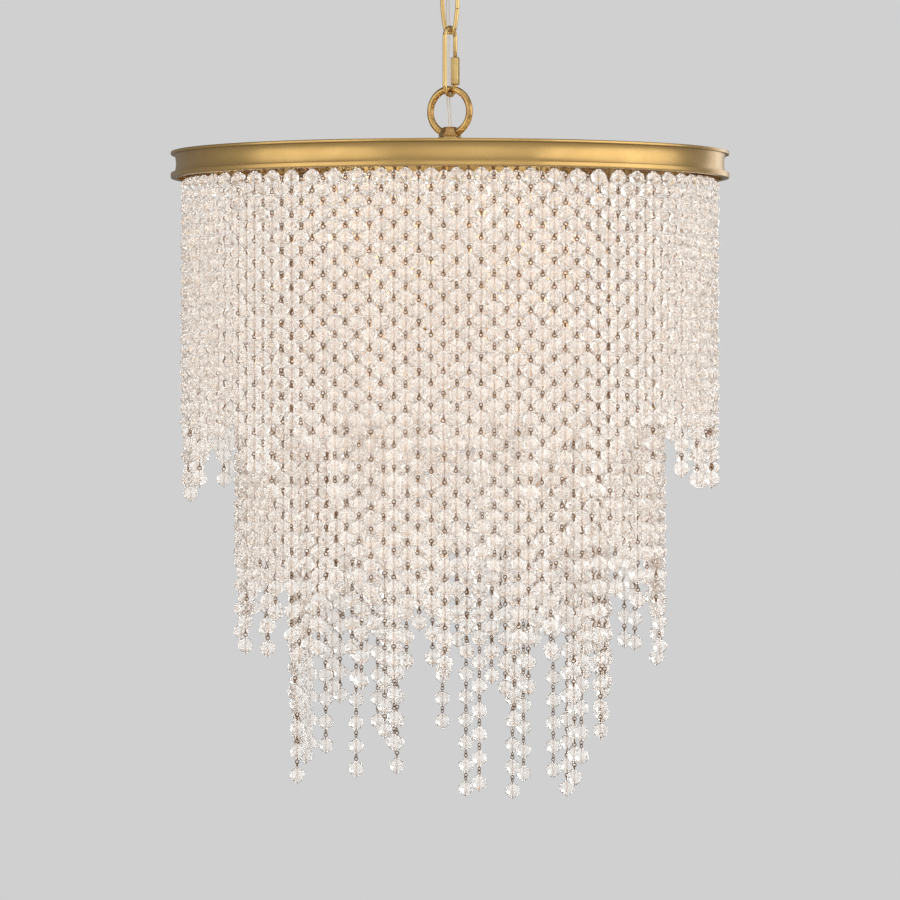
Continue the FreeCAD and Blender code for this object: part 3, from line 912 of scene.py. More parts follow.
@dataclass(frozen=True)
class LightSizes:
    """Column, hub, arms, lamp holders and bulbs."""

    column_diameter: float = 16.0
    rod_diameter: float = 10.0
    rod_thread_depth: float = 0.4
    rod_thread_pitch: float = 1.5
    rod_nut_height: float = 5.0
    hub_diameter: float = 34.0
    hub_height: float = 44.0
    hub_neck_diameter: float = 20.0
    hub_below_drum: float = 123.0
    cover_height: float = 14.0
    finial_height: float = 26.0
    finial_seat: float = 8.0
    finial_diameter: float = 13.0
    lamp_count: int = 6
    arm_diameter: float = 8.0
    arm_reach: float = 68.0
    arm_below_hub_top: float = 12.0
    arm_end_wall: float = 1.0
    cup_diameter: float = 30.0
    cup_height: float = 16.0
    cup_wall: float = 1.5
    socket_diameter: float = 22.0
    socket_bore: float = 12.6
    socket_height: float = 30.0
    bulb_base_diameter: float = 12.0
    bulb_base_length: float = 20.0
    bulb_diameter: float = 32.0
    bulb_height: float = 70.0
    drum: DrumSizes = DrumSizes()

    @property
    def hub_top(self) -> float:
        """Height of the hub's neck."""
        return self.drum.band_bottom - self.hub_below_drum

    @property
    def hub_bottom(self) -> float:
        """Height of the hub's lower face."""
        return self.hub_top - self.hub_height

    @property
    def cover_bottom(self) -> float:
        """Height of the cover's lower face."""
        return self.hub_bottom - self.cover_height

    @property
    def arm_z(self) -> float:
        """Height of the arms' middle line."""
        return self.hub_top - self.arm_below_hub_top

    @property
    def lamp_radius(self) -> float:
        """Distance of a lamp from the axis."""
        return self.arm_reach - self.arm_diameter / 2 - self.arm_end_wall

    @property
    def cup_floor(self) -> float:
        """Height of the cups' underside."""
        return self.arm_z + self.arm_diameter / 2

    @property
    def socket_top(self) -> float:
        """Height of the lamp holders' rim."""
        return self.cup_floor + self.cup_wall + self.socket_height


@dataclass(frozen=True)
class BeadSizes:
    """One bead on its eye pin, and the ring that it hangs by."""

    width: float = 14.0
    length: float = 14.0
    pitch: float = 21.3
    first_drop: float = 16.3
    facets: int = 8
    rings: int = 6
    # Width of a bead's two small end faces, as a share of its middle
    tip_fullness: float = 0.24
    # Largest lean of a bead on its pin, in radians, and the seed of the beads' turns
    tilt: float = 0.05
    turn_draw: int = 7
    wire: float = 0.95
    pin_thinning: float = 0.45
    eye_radius: float = 1.75
    eye_height: float = 9.35
    eye_steps: int = 8
    wire_sides: int = 4
    head_pin: float = 1.5
    hook_ring_radius: float = 1.9
    hook_ring_height: float = 8.2
    hook_ring_rise: float = 2.15
    # How far a strand may hang off plumb, and how much its length varies, as shares of its length
    lean: float = 0.004
    stretch: float = 0.006

    @property
    def hanger_eye_drop(self) -> float:
        """Depth of the top eye of a strand below its hoop."""
        return self.first_drop - self.eye_height


@dataclass(frozen=True)
class TierSizes:
    """One curtain of strands: where it hangs and how its lower ends are ragged."""

    name: str
    radius: float
    strands: int
    # Beads on the longest strand, and the most that a ragged one may lack of them
    longest: int
    lack: int
    # Seed of the tier's draws
    draw: int
    lack_bias: float = 0.75
    sectors: int = 8

    def bead_counts(self) -> list[int]:
        """Beads on each strand, the same draw as the CAD makes.

        Returns:
            The number of beads for each strand round the tier.
        """
        dice = random.Random(self.draw)
        counts = []
        for index in range(self.strands):
            counts.append(self.longest - index % 2 - int(self.lack * dice.random() ** self.lack_bias))
        return counts

    def sector(self, number: int) -> range:
        """Strands that belong to one eighth of the tier."""
        first = ceil(self.strands * number / self.sectors)
        return range(first, ceil(self.strands * (number + 1) / self.sectors))


# Ceiling fitting and chain

@dataclass
class CeilingFitting:
    """Crossbar, threaded pipe, canopy, ring nut and loop."""

    sizes: CeilingSizes
    chain: ChainSizes
    finishes: Finishes
    sides: int = 72
    collar_sides: int = 48
    ring_steps: int = 64
    wire_sides: int = 16
    pipe_sides: int = 24
    nut_sides: int = 96
    knurl_sides: int = 4

    def build(self) -> None:
        """Makes every piece of the ceiling fitting."""
        body = "ceiling_fitting"
        zinc = self.finishes.zinc
        strap = softened_copy("crossbar", "crossbar_strap", zinc, self.sizes.strap_edge)
        lock_nut = softened_copy("lock_nut", "pipe_lock_nut", zinc, self.sizes.lock_nut_edge)
        place(strap, body, Slot.STEEL, "crossbar")
        place(lock_nut, body, Slot.STEEL, "lock_nut")
        place(self.pipe(), body, Slot.STEEL, "threaded_pipe")
        place(self.loop(), body, Slot.BRASS, "canopy_loop")
        place(self.canopy(), "canopy_cover", Slot.BRASS, "canopy")
        place(self.ring_nut(), "canopy_cover", Slot.BRASS, "canopy_ring_nut")

    def pipe(self) -> bpy.types.Object:
        """Hollow pipe threaded over its whole length.

        Returns:
            The pipe.
        """
        size = self.sizes
        bottom = size.thread_top - size.thread_engagement
        thread = ridged(size.pipe_diameter / 2, size.pipe_thread_depth, 0, bottom, size.pipe_thread_pitch)
        bore = size.pipe_bore / 2
        profile = thread + [(bore, bottom), (bore, 0)]
        return turned_piece("canopy_pipe", profile, self.pipe_sides, self.finishes.zinc)

    def loop(self) -> bpy.types.Object:
        """Threaded collar with its cast ring.

        Returns:
            The collar and the ring as one piece.
        """
        size = self.sizes
        bore = size.pipe_bore / 2
        outer = size.thread_diameter / 2
        chamfer = 1.5
        collar = ridged(outer, size.thread_depth, size.thread_top, size.thread_bottom + 1, size.thread_pitch)
        collar += [(outer - chamfer, size.thread_bottom), (bore, size.thread_bottom), (bore, size.thread_top)]
        centre = Vector((0, 0, size.loop_centre))
        foot = size.loop_foot_angle
        ring = arc(centre, size.loop_radius, 90 + foot, 360 - 2 * foot, self.ring_steps)
        shape = Shape().turning(collar, self.collar_sides, closed=True)
        shape.sweep(ring, size.loop_wire / 2, self.wire_sides)
        return shape.turned(self.chain.turn).piece("canopy_loop_casting", self.finishes.cast_brass)

    def canopy(self) -> bpy.types.Object:
        """Spun cover with a rolled rim, a stepped shoulder and a soft dome.

        Returns:
            The canopy.
        """
        size = self.sizes
        radius = size.canopy_diameter / 2
        neck = size.canopy_neck_diameter / 2
        hole = size.thread_diameter / 2 + size.canopy_hole_clearance
        rim = size.canopy_rim_height
        depth = size.canopy_depth
        run = radius - neck
        rise = depth - rim
        outside = [(radius - 0.4, 0), (radius, -0.6), (radius, -rim + 0.5), (radius - 0.8, -rim - 0.2)]
        outside += flowing([
            (radius - 1.4, -rim - 0.4), (radius - run * 0.12, -rim - rise * 0.36),
            (radius - run * 0.42, -rim - rise * 0.74), (neck + 1, -depth + 0.3), (neck - 2, -depth),
        ], 6)
        outside.append((hole, -depth))
        wall = size.canopy_wall
        inside = [(max(r - wall, hole), min(z + wall, 0)) for r, z in outside]
        inside[0] = (radius - wall, 0)
        profile = outside + inside[::-1]
        return turned_piece("canopy_cover_spinning", profile, self.sides, self.finishes.band_brass)

    def ring_nut(self) -> bpy.types.Object:
        """Knurled ring that holds the canopy up.

        Returns:
            The ring nut.
        """
        size = self.sizes
        top = -size.canopy_depth
        bottom = top - size.ring_nut_height
        bore = size.thread_diameter / 2 + size.ring_nut_clearance
        rim = size.ring_nut_diameter / 2 - size.knurl_inset
        chamfer = size.ring_nut_chamfer
        slope = 1.2
        profile = [
            (bore, top), (rim - chamfer, top), (rim, top - slope), (rim, bottom + slope),
            (rim - chamfer, bottom), (bore, bottom),
        ]
        shape = Shape().turning(profile, self.nut_sides, closed=True)
        for i, point in enumerate(shape.points):
            on_rim = point.to_2d().length > rim - chamfer / 2
            if on_rim and i % self.knurl_sides < self.knurl_sides / 2:
                shape.points[i] = Vector((point.x * size.knurl_share, point.y * size.knurl_share, point.z))
        return shape.piece("canopy_nut_knurled", self.finishes.cast_brass)


@dataclass
class Chain:
    """Two oval links, the quick link and its sleeve."""

    sizes: ChainSizes
    finishes: Finishes
    sides: int = 16

    def build(self) -> None:
        """Makes the links from the top down."""
        size = self.sizes
        upper = self.oval_link("upper_oval_link", size.upper_bow, size.turn + 90)
        lower = self.oval_link("lower_oval_link", size.lower_bow, size.turn)
        place(upper, "upper_link", Slot.BRASS, "upper_chain_link")
        place(lower, "lower_link", Slot.BRASS, "lower_chain_link")
        place(self.quick_link(), "quick_link_body", Slot.BRASS, "quick_link")
        place(self.sleeve(), "quick_link_screw_sleeve", Slot.BRASS, "quick_link_sleeve")

    def oval_link(self, name: str, bow: float, heading: float) -> bpy.types.Object:
        """Oval of round wire with a butt seam in one leg.

        Args:
            name: The piece's name.
            bow: Height of the lower end's wire.
            heading: Turn of the link's plane round the vertical axis.

        Returns:
            The link.
        """
        size = self.sizes
        half_length = (size.length - size.wire) / 2
        half_width = (size.width - size.wire) / 2
        end_height = half_length - size.bow_radius
        narrow = half_width - size.bow_radius
        side_radius = (end_height ** 2 + half_width ** 2 - size.bow_radius ** 2) / (2 * narrow)
        side_angle = degrees(asin(end_height / (side_radius - size.bow_radius)))
        middle = bow + half_length
        path = []
        for side in (1, -1):
            first = -side_angle if side > 0 else 180 - side_angle
            side_centre = Vector((-side * (side_radius - half_width), 0, middle))
            end_centre = Vector((0, 0, middle + side * end_height))
            last = first + 2 * side_angle
            path += arc(side_centre, side_radius, first, last - first, size.side_steps)[:-1]
            path += arc(end_centre, size.bow_radius, last, 180 - 2 * side_angle, size.bow_steps)[:-1]
        seam = size.seam_step
        along = (path[seam + 1] - path[seam]).normalized()
        wide, narrow_cut = size.seam_half_width, size.seam_cut
        cut = [path[seam] + along * step for step in (-wide, -narrow_cut, 0.0, narrow_cut, wide)]
        path[seam:seam + 1] = cut
        swell = [1.0] * len(path)
        swell[seam:seam + len(cut)] = [1.0, size.seam_shoulder, size.seam_depth, size.seam_shoulder, 1.0]
        shape = Shape().sweep(path, size.wire / 2, self.sides, closed=True, swell=swell)
        return shape.turned(heading).piece(name, self.finishes.cast_brass)

    def quick_link(self) -> bpy.types.Object:
        """Open oval whose threaded upper end meets its lower end inside the sleeve.

        Returns:
            The quick link without its sleeve.
        """
        size = self.sizes
        radius = (size.quick_width - size.wire) / 2
        top = Vector((0, 0, size.quick_top - radius))
        bottom = Vector((0, 0, size.quick_bow + radius))
        sleeve_top = size.sleeve_bottom + size.sleeve_length
        gap_middle = size.sleeve_bottom + size.sleeve_length / 2
        upper_end = gap_middle + size.quick_gap / 2
        lower_end = gap_middle - size.quick_gap / 2
        thread_top = sleeve_top + size.quick_thread_above_sleeve
        shoulder = 0.5
        halves = 2 * size.quick_thread_ridges
        path = []
        swell = []
        for half in range(halves + 1):
            path.append(Vector((radius, 0, upper_end + (thread_top - upper_end) * half / halves)))
            swell.append(size.quick_thread_root if half % 2 else size.quick_thread_crest)
        steps = size.quick_bend_steps
        bends = arc(top, radius, 0, 180, steps) + arc(bottom, radius, 180, 180, steps)
        path += [Vector((radius, 0, thread_top + shoulder))] + bends + [Vector((radius, 0, lower_end))]
        swell += [1.0] * (len(bends) + 2)
        shape = Shape().sweep(path, size.wire / 2, self.sides, swell=swell)
        return shape.turned(size.turn + 90).piece("quick_link_wire", self.finishes.cast_brass)

    def sleeve(self) -> bpy.types.Object:
        """Long hexagon nut with chamfered ends and a threaded bore.

        Returns:
            The sleeve.
        """
        size = self.sizes
        bottom = size.sleeve_bottom
        top = bottom + size.sleeve_length
        outer = size.sleeve_across_flats / 2 / cos(pi / 6)
        bore = size.wire / 2 + size.sleeve_bore_clearance
        inset, rise = size.sleeve_chamfer_width, size.sleeve_chamfer_height
        profile = [
            (bore, bottom), (outer - inset, bottom), (outer, bottom + rise), (outer, top - rise),
            (outer - inset, top), (bore, top),
        ]
        shape = Shape().turning(profile, 6, closed=True)
        shape.moved(Matrix.Translation(((size.quick_width - size.wire) / 2, 0, 0)))
        shape.turned(size.turn + 90)
        return shape.piece("quick_link_hex_sleeve", self.finishes.cast_brass, size.sleeve_edge)


# Supply cord

@dataclass
class SupplyCord:
    """Clear twin cord that bends at each link's joint."""

    ceiling: CeilingSizes
    chain: ChainSizes
    drum: DrumSizes
    finishes: Finishes
    half_width: float = 1.2
    lobe: float = 1.1
    lobe_sweep: float = 240.0
    lobe_steps: int = 8
    conductor: float = 0.22
    conductor_sides: int = 8
    clear_of_wires: float = 2.8
    bend_reach: float = 14.0

    def beside(self, wire: float) -> float:
        """Distance from the axis at which the cord clears two crossed wires."""
        return (wire / 2 + self.clear_of_wires) * sqrt(2)

    def route(self) -> list[Vector]:
        """Points of the cord's route, the same as the CAD's.

        Returns:
            The points from the canopy loop down to the base.
        """
        across = self.chain.turn + 45
        behind = across + 90
        return [
            Vector((0, 0, self.ceiling.thread_top)),
            Vector((0, 0, self.ceiling.thread_bottom - self.ceiling.loop_wire / 2)),
            on_circle(self.beside(self.ceiling.loop_wire) + 1.2, across, self.ceiling.loop_bow + 1),
            Vector((0, 0, (self.chain.upper_top + self.chain.upper_bow) / 2)),
            on_circle(self.beside(self.chain.wire) + 1.2, behind, self.chain.upper_bow + 3),
            on_circle(self.beside(self.chain.wire) + 0.6, behind, self.chain.lower_bow + 2),
            on_circle(self.beside(self.drum.loop_wire) + 0.4, behind, self.chain.quick_bow + 1),
            Vector((0, 0, self.drum.base_top + 9)),
            Vector((0, 0, self.drum.base_top - self.drum.base_height / 3)),
        ]

    def smooth_line(self) -> list[Vector]:
        """Points read from the route's own NURBS line.

        Returns:
            Points close together along the route.
        """
        curve = bpy.data.curves.new("cord_route", "CURVE")
        curve.dimensions = "3D"
        curve.resolution_u = 14
        points = self.route()
        spline = curve.splines.new("NURBS")
        spline.points.add(len(points) - 1)
        for knot, point in zip(spline.points, points):
            knot.co = (*point, 1)
        spline.order_u = 3
        spline.use_endpoint_u = True
        carrier = bpy.data.objects.new("cord_route", curve)
        mesh = bpy.data.meshes.new_from_object(carrier)
        line = [vertex.co.copy() for vertex in mesh.vertices]
        bpy.data.objects.remove(carrier)
        bpy.data.meshes.remove(mesh)
        return line

    def twin_outline(self) -> list[tuple[float, float]]:
        """Section of the cord: two round lobes side by side.

        Returns:
            The outline as pairs of numbers.
        """
        outline = []
        for side in (1, -1):
            for step in range(self.lobe_steps + 1):
                angle = radians(self.lobe_sweep * (step / self.lobe_steps - 0.5))
                x = self.half_width + self.lobe * cos(angle)
                outline.append((side * x, side * self.lobe * sin(angle)))
        return outline

    def build(self) -> None:
        """Makes the cord in four stretches, each of which bends at one joint."""
        line = self.smooth_line()
        lie = on_circle(1, self.chain.turn + 45)
        jacket = sections_along(line, self.twin_outline(), False, across=lie)
        cores = []
        for x in (self.half_width, -self.half_width):
            core = circle(self.conductor, self.conductor_sides, x)
            cores.append(sections_along(line, core, False, across=lie))
        bodies = ["ceiling_fitting", "upper_link", "lower_link", "quick_link_body", "chandelier_frame"]
        pivots = [self.ceiling.loop_bow, self.chain.upper_bow, self.chain.lower_bow, self.chain.quick_bow]
        cuts = [0]
        for above, below in zip(pivots, pivots[1:]):
            middle = (above + below) / 2
            cuts.append(min(range(len(line)), key=lambda i: abs(line[i].z - middle)))
        cuts.append(len(line) - 1)
        for number, pivot in enumerate(pivots):
            reach = slice(cuts[number], cuts[number + 1] + 1)
            stretch = Shape().loft(jacket[reach])
            wires = Shape().loft(cores[0][reach]).loft(cores[1][reach])
            sheath = stretch.piece("cord_jacket_%d" % (number + 1), self.finishes.clear_pvc)
            self.bend(sheath, bodies[number], bodies[number + 1], pivot)
            pair = wires.piece("cord_conductors_%d" % (number + 1), self.finishes.conductor)
            self.bend(pair, bodies[number], bodies[number + 1], pivot)

    def bend(self, piece: bpy.types.Object, above: str, below: str, pivot: float) -> None:
        """Bakes a stretch of cord's transform into its mesh, hides the CAD cord and logs the bodies above and
        below it.

        Args:
            piece: The stretch.
            above: Body above the stretch, named in the log.
            below: Body below the stretch, named in the log.
            pivot: Height of the joint between the two. Not used.
        """
        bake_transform(piece)
        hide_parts("supply_cord")
        log.info("%s bends from %s to %s", piece.name, above, below)


# Drum

@dataclass
class DrumTop:
    """Hanging loop, rod, spider, band and the three hoops."""

    sizes: DrumSizes
    light: LightSizes
    finishes: Finishes
    sides: int = 256
    wire_sides: int = 20
    rod_sides: int = 20

    def build(self, tiers: list[TierSizes]) -> None:
        """Makes the drum's pieces.

        Args:
            tiers: The curtains that hang from the drum's hoops.
        """
        body = "chandelier_frame"
        brass = self.finishes.cast_brass
        place(self.hanging_loop(), body, Slot.BRASS, "hanging_loop")
        place(self.rod(), body, Slot.STEEL, "centre_rod")
        nuts = softened_copy("rod_nuts", "spider_clamp_nuts", brass, self.sizes.nuts_edge)
        place(nuts, body, Slot.BRASS, "rod_nuts")
        spokes = softened_copy("top_spider", "spoked_top", brass, self.sizes.spokes_edge)
        place(spokes, body, Slot.BRASS, "top_spider")
        place(self.band(), body, Slot.BRASS, "drum_band")
        for tier in tiers:
            place(self.hoop(tier), body, Slot.BRASS, tier.name + "_bead_ring")

    def hanging_loop(self) -> bpy.types.Object:
        """Cast ring that grows out of a tapered hexagon base.

        Returns:
            The loop and its base as one piece.
        """
        size = self.sizes
        centre = Vector((0, 0, size.loop_centre))
        foot = size.loop_foot_angle
        steps = size.loop_steps
        ring = arc(centre, size.loop_radius, -90 + foot, 360 - 2 * foot, steps)
        swell = []
        for step in range(steps + 1):
            from_foot = min(step, steps - step) / size.loop_foot_steps
            swell.append(1.0 + size.loop_foot_swell * max(0, 1 - from_foot))
        shape = Shape().sweep(ring, size.loop_wire / 2, self.wire_sides, swell=swell)
        shape.turned(size.chain.turn)
        wide = size.base_width / 2
        narrow = size.base_top_width / 2
        bore = self.light.rod_diameter / 2
        base = [
            (bore, size.base_bottom), (wide - 0.8, size.base_bottom), (wide, size.base_bottom + 0.9),
            (wide - 0.2, size.base_bottom + 2.2), (narrow + 0.5, size.base_top - 0.7),
            (narrow - 0.6, size.base_top), (bore - 1.5, size.base_top),
        ]
        shape.joined(Shape().turning(base, 6, closed=True))
        return shape.piece("hanging_loop_casting", self.finishes.loop_brass, size.loop_edge)

    def rod(self) -> bpy.types.Object:
        """Threaded hollow rod down the middle.

        Returns:
            The rod.
        """
        size = self.sizes
        top = size.base_top - size.base_height / 3
        bottom = self.light.cover_bottom - self.light.finial_seat
        light = self.light
        thread = ridged(light.rod_diameter / 2, light.rod_thread_depth, top, bottom, light.rod_thread_pitch)
        bore = size.chain.ceiling.pipe_bore / 2
        profile = thread + [(bore, bottom), (bore, top)]
        return turned_piece("threaded_centre_rod", profile, self.rod_sides, self.finishes.zinc)

    def lip(self, top: float, bottom: float) -> list[tuple[float, float]]:
        """Lip with a nearly flat face and rounded corners, from its top down to its underside.

        Args:
            top: Height of the lip's upper side.
            bottom: Height of its underside.

        Returns:
            Its stretch of the band's profile.
        """
        outer = self.sizes.diameter / 2
        soft = self.sizes.lip_corner
        shoulder = soft * 0.3
        return [
            (outer - soft, top), (outer - shoulder, top - shoulder), (outer, top - soft),
            (outer + self.sizes.lip_crown, (top + bottom) / 2), (outer, bottom + soft),
            (outer - shoulder, bottom + shoulder), (outer - soft, bottom),
        ]

    def band(self) -> bpy.types.Object:
        """Drawn brass band: a narrow upper lip, a hollow cove and a taller lower lip.

        Returns:
            The band.
        """
        size = self.sizes
        rim = size.diameter / 2 - size.cove_depth + size.cove_hollow
        inner = size.diameter / 2 - size.cove_depth - size.band_wall
        top = size.band_top + size.band_rise
        bottom = size.band_bottom
        cove_top = top - size.upper_lip_height
        cove_bottom = bottom + size.lower_lip_height
        profile = [(inner, top)] + self.lip(top, cove_top)
        for step in range(size.cove_steps + 1):
            part = step / size.cove_steps
            hollow = size.cove_hollow * (1 - (2 * part - 1) ** 2)
            profile.append((rim - hollow, cove_top + (cove_bottom - cove_top) * part))
        profile += self.lip(cove_bottom, bottom) + [(inner, bottom)]
        return turned_piece("drum_band_moulding", profile, self.sides, self.finishes.band_brass)

    def hoop(self, tier: TierSizes) -> bpy.types.Object:
        """Flat hoop with softened edges that a tier hooks into.

        Args:
            tier: The tier.

        Returns:
            The hoop.
        """
        size = self.sizes
        inner = tier.radius - size.ring_wall / 2
        outer = tier.radius + size.ring_wall / 2
        top = size.spoke_bottom
        soft = size.ring_corner
        profile = [
            (inner, top), (outer, top), (outer, size.hook + soft), (outer - soft, size.hook),
            (inner + soft, size.hook), (inner, size.hook + soft),
        ]
        return turned_piece(tier.name + "_strand_hoop", profile, self.sides, self.finishes.cast_brass)


# Light cluster

@dataclass
class LightCluster:
    """Column, hub, cover, finial, arms, cups, holders and the six bulbs."""

    sizes: LightSizes
    finishes: Finishes
    sides: int = 48
    small_sides: int = 36
    tube_sides: int = 24
    wire_sides: int = 6

    def build(self) -> None:
        """Makes the cluster's pieces from the column down, then the bulbs."""
        body = "chandelier_frame"
        for make, slot, node in (
            (self.column, Slot.BRASS, "column_tube"), (self.hub, Slot.BRASS, "light_hub"),
            (self.cover, Slot.BRASS, "hub_cover"), (self.finial, Slot.BRASS, "bottom_finial"),
            (self.arms, Slot.BRASS, "lamp_arms"), (self.cups, Slot.BRASS, "socket_cups"),
            (self.holders, Slot.HOLDER, "sockets"),
        ):
            place(make(), body, slot, node)
        for number in range(1, self.sizes.lamp_count + 1):
            self.bulb(number)

    def column(self) -> bpy.types.Object:
        """Plain tube with a bead at each end.

        Returns:
            The column.
        """
        size = self.sizes
        top = size.drum.spoke_bottom - size.rod_nut_height
        bottom = size.hub_top
        outer = size.column_diameter / 2
        tube = outer - 0.6
        chamfer = 1
        bore = size.rod_diameter / 2
        profile = [
            (bore, top), (outer - chamfer, top), (outer, top - chamfer), (outer, top - 4), (tube, top - 4.6),
            (tube, bottom + 5), (outer, bottom + 4.4), (outer, bottom + chamfer), (outer - chamfer, bottom),
            (bore, bottom),
        ]
        return turned_piece("column_spun_tube", profile, self.sides, self.finishes.band_brass)

    def hub(self) -> bpy.types.Object:
        """Turned hub with a necked top and two fine grooves round its drum.

        Returns:
            The hub.
        """
        size = self.sizes
        outer = size.hub_diameter / 2
        neck = size.hub_neck_diameter / 2
        top, bottom = size.hub_top, size.hub_bottom
        step = (outer - neck) / 2
        corner = 0.8
        bore = size.rod_diameter / 2
        profile = [(bore, top), (neck - corner, top), (neck, top - corner)]
        profile += flowing([
            (neck, top - 1.5), (neck + 0.6, top - step), (outer - 1.6, top - 2 * step + 0.6),
            (outer, top - 2 * step - corner),
        ], 4)
        groove_half_width, groove_depth = 0.8, 0.7
        for share in (0.62, 0.86):
            z = top + (bottom - top) * share
            profile += [
                (outer, z + groove_half_width), (outer - groove_depth, z), (outer, z - groove_half_width),
            ]
        profile += [(outer, bottom + 1), (outer - corner, bottom), (bore, bottom)]
        return turned_piece("hub_turning", profile, self.sides, self.finishes.band_brass)

    def cover(self) -> bpy.types.Object:
        """Spun cap under the hub.

        Returns:
            The cap.
        """
        size = self.sizes
        outer = size.hub_diameter / 2
        bore = size.rod_diameter / 2
        top, bottom = size.hub_bottom, size.cover_bottom
        profile = [(bore, top), (outer - 0.4, top), (outer, top - 0.5)] + flowing([
            (outer, top - 1.2), (outer * 0.94, top - size.cover_height * 0.38),
            (outer * 0.7, top - size.cover_height * 0.76), (size.finial_diameter / 2 + 1, bottom + 0.4),
        ], 5) + [(size.finial_diameter / 2, bottom), (bore, bottom)]
        return turned_piece("hub_cap_spinning", profile, self.sides, self.finishes.band_brass)

    def finial(self) -> bpy.types.Object:
        """Knob with a collar, a narrow neck and a ball drawn to a point.

        Returns:
            The finial.
        """
        size = self.sizes
        radius = size.finial_diameter / 2
        top = size.cover_bottom
        seat = top - size.finial_seat
        neck = seat - size.finial_seat / 4
        tip = top - size.finial_height
        ball = neck - tip
        bore = size.rod_diameter / 2
        profile = [(bore, top), (radius - 0.6, top), (radius, top - 0.6), (radius, seat + 0.8)]
        profile += [(radius - 0.8, seat)] + flowing([
            (radius * 0.66, seat - 0.3), (radius * 0.6, neck), (radius * 0.9, neck - ball * 0.25),
            (radius, neck - ball * 0.5), (radius * 0.72, neck - ball * 0.8), (radius * 0.2, tip + 0.3),
            (0.2, tip),
        ], 4)
        cavity = [(0.2, seat + 0.2), (bore, seat + 0.2)]
        return turned_piece("finial_turning", profile + cavity, self.small_sides, self.finishes.band_brass)

    def arms(self) -> bpy.types.Object:
        """Straight tubes with a collar at the hub and at the cup.

        Returns:
            All the arms as one piece.
        """
        size = self.sizes
        radius = size.arm_diameter / 2
        collar = size.hub_diameter / 2
        in_hub = collar - 3
        ring = radius + 1.6
        ferrule = radius + 0.5
        reach = size.arm_reach
        profile = [
            (radius, in_hub), (radius, collar), (ring, collar + 0.2), (ring, collar + 2.4),
            (radius, collar + 3), (radius, reach - 9), (ferrule, reach - 8.4), (ferrule, reach - 1),
            (radius - 0.4, reach),
        ]
        arm = Shape().turning(profile, self.tube_sides).moved(Matrix.Rotation(pi / 2, 4, "Y"))
        arm.moved(Matrix.Translation((0, 0, size.arm_z)))
        return arm.round_the_axis(size.lamp_count).piece("lamp_arm_tubes", self.finishes.band_brass)

    def at_lamp(self, shape: Shape) -> Shape:
        """Moves a shape from the axis out to the first lamp."""
        return shape.moved(Matrix.Translation((self.sizes.lamp_radius, 0, 0)))

    def cups(self) -> bpy.types.Object:
        """Spun cups with a rolled rim.

        Returns:
            All the cups as one piece.
        """
        size = self.sizes
        outer = size.cup_diameter / 2
        floor = size.cup_floor
        foot = size.arm_diameter
        rim = floor + size.cup_height
        outside = flowing([
            (foot - 3, floor), (foot, floor + 0.4), (outer - 2.4, floor + size.cup_height * 0.3),
            (outer - 0.6, floor + size.cup_height * 0.6), (outer - 0.5, rim - 1.4),
        ], 5)
        roll = [(outer, rim - 1), (outer, rim - 0.3), (outer - 0.6, rim), (outer - size.cup_wall, rim - 0.4)]
        inside = [(radius - size.cup_wall * 0.8, z + size.cup_wall) for radius, z in outside[::-1][4:]]
        cup = self.at_lamp(Shape().turning(outside + roll + inside, self.small_sides))
        return cup.round_the_axis(size.lamp_count).piece("cup_spinnings", self.finishes.band_brass)

    def holders(self) -> bpy.types.Object:
        """White candle sleeves with a shouldered rim.

        Returns:
            All the sleeves as one piece.
        """
        size = self.sizes
        radius = size.socket_diameter / 2
        floor = size.cup_floor + size.cup_wall + 0.2
        top = size.socket_top
        bore = size.socket_bore / 2
        foot = size.arm_diameter - size.cup_wall
        well = top - size.bulb_base_length - 0.3
        pinhole = 0.5
        sleeve = radius - 1
        corner = 0.8
        profile = [
            (pinhole, floor), (foot, floor), (sleeve, floor + size.cup_height / 2), (sleeve, top - 5),
            (radius, top - 4.4), (radius, top - corner), (radius - corner, top), (bore + 0.5, top),
            (bore, top - 0.5), (bore, well), (pinhole, well),
        ]
        holder = self.at_lamp(Shape().turning(profile, self.small_sides, closed=True))
        return holder.round_the_axis(size.lamp_count).piece("candle_sleeves", self.finishes.holder)

    def bulb(self, number: int) -> None:
        """Makes one candle bulb: its glass, its screw base and its filament.

        Args:
            number: Number of the lamp, counted round the axis from +X.
        """
        size = self.sizes
        heading = 360 / size.lamp_count * (number - 1)
        body = "lamp_bulb_%d" % number
        top = size.socket_top
        base = size.bulb_base_diameter / 2
        widest = size.bulb_diameter / 2
        height = size.bulb_height
        glass = flowing([
            (base - 0.6, top - 1), (base, top + 0.4), (widest * 0.64, top + height * 0.08),
            (widest * 0.93, top + height * 0.22), (widest, top + height * 0.36),
            (widest * 0.9, top + height * 0.52), (widest * 0.62, top + height * 0.74),
            (widest * 0.24, top + height * 0.93), (0.4, top + height),
        ], 5)
        envelope = self.at_lamp(Shape().turning(glass, self.small_sides)).turned(heading)
        place(envelope.piece("bulb_%d_glass" % number, self.finishes.bulb_glass), body, Slot.BULB,
              "bulb_%d" % number)
        thread_depth, thread_pitch = 0.6, 2.2
        thread = [(base - 0.8, top - 0.6)] + ridged(base, thread_depth, top - 2, top - 15, thread_pitch)
        thread += [(base * 0.6, top - 17), (1.5, top - size.bulb_base_length)]
        screw = self.at_lamp(Shape().turning(thread, self.tube_sides)).turned(heading)
        place(screw.piece("bulb_%d_screw_base" % number, self.finishes.band_brass), body, Slot.BULB)
        filament = self.at_lamp(self.filament(top, height)).turned(heading)
        place(filament.piece("bulb_%d_filament" % number, self.finishes.filament), body, Slot.BULB)

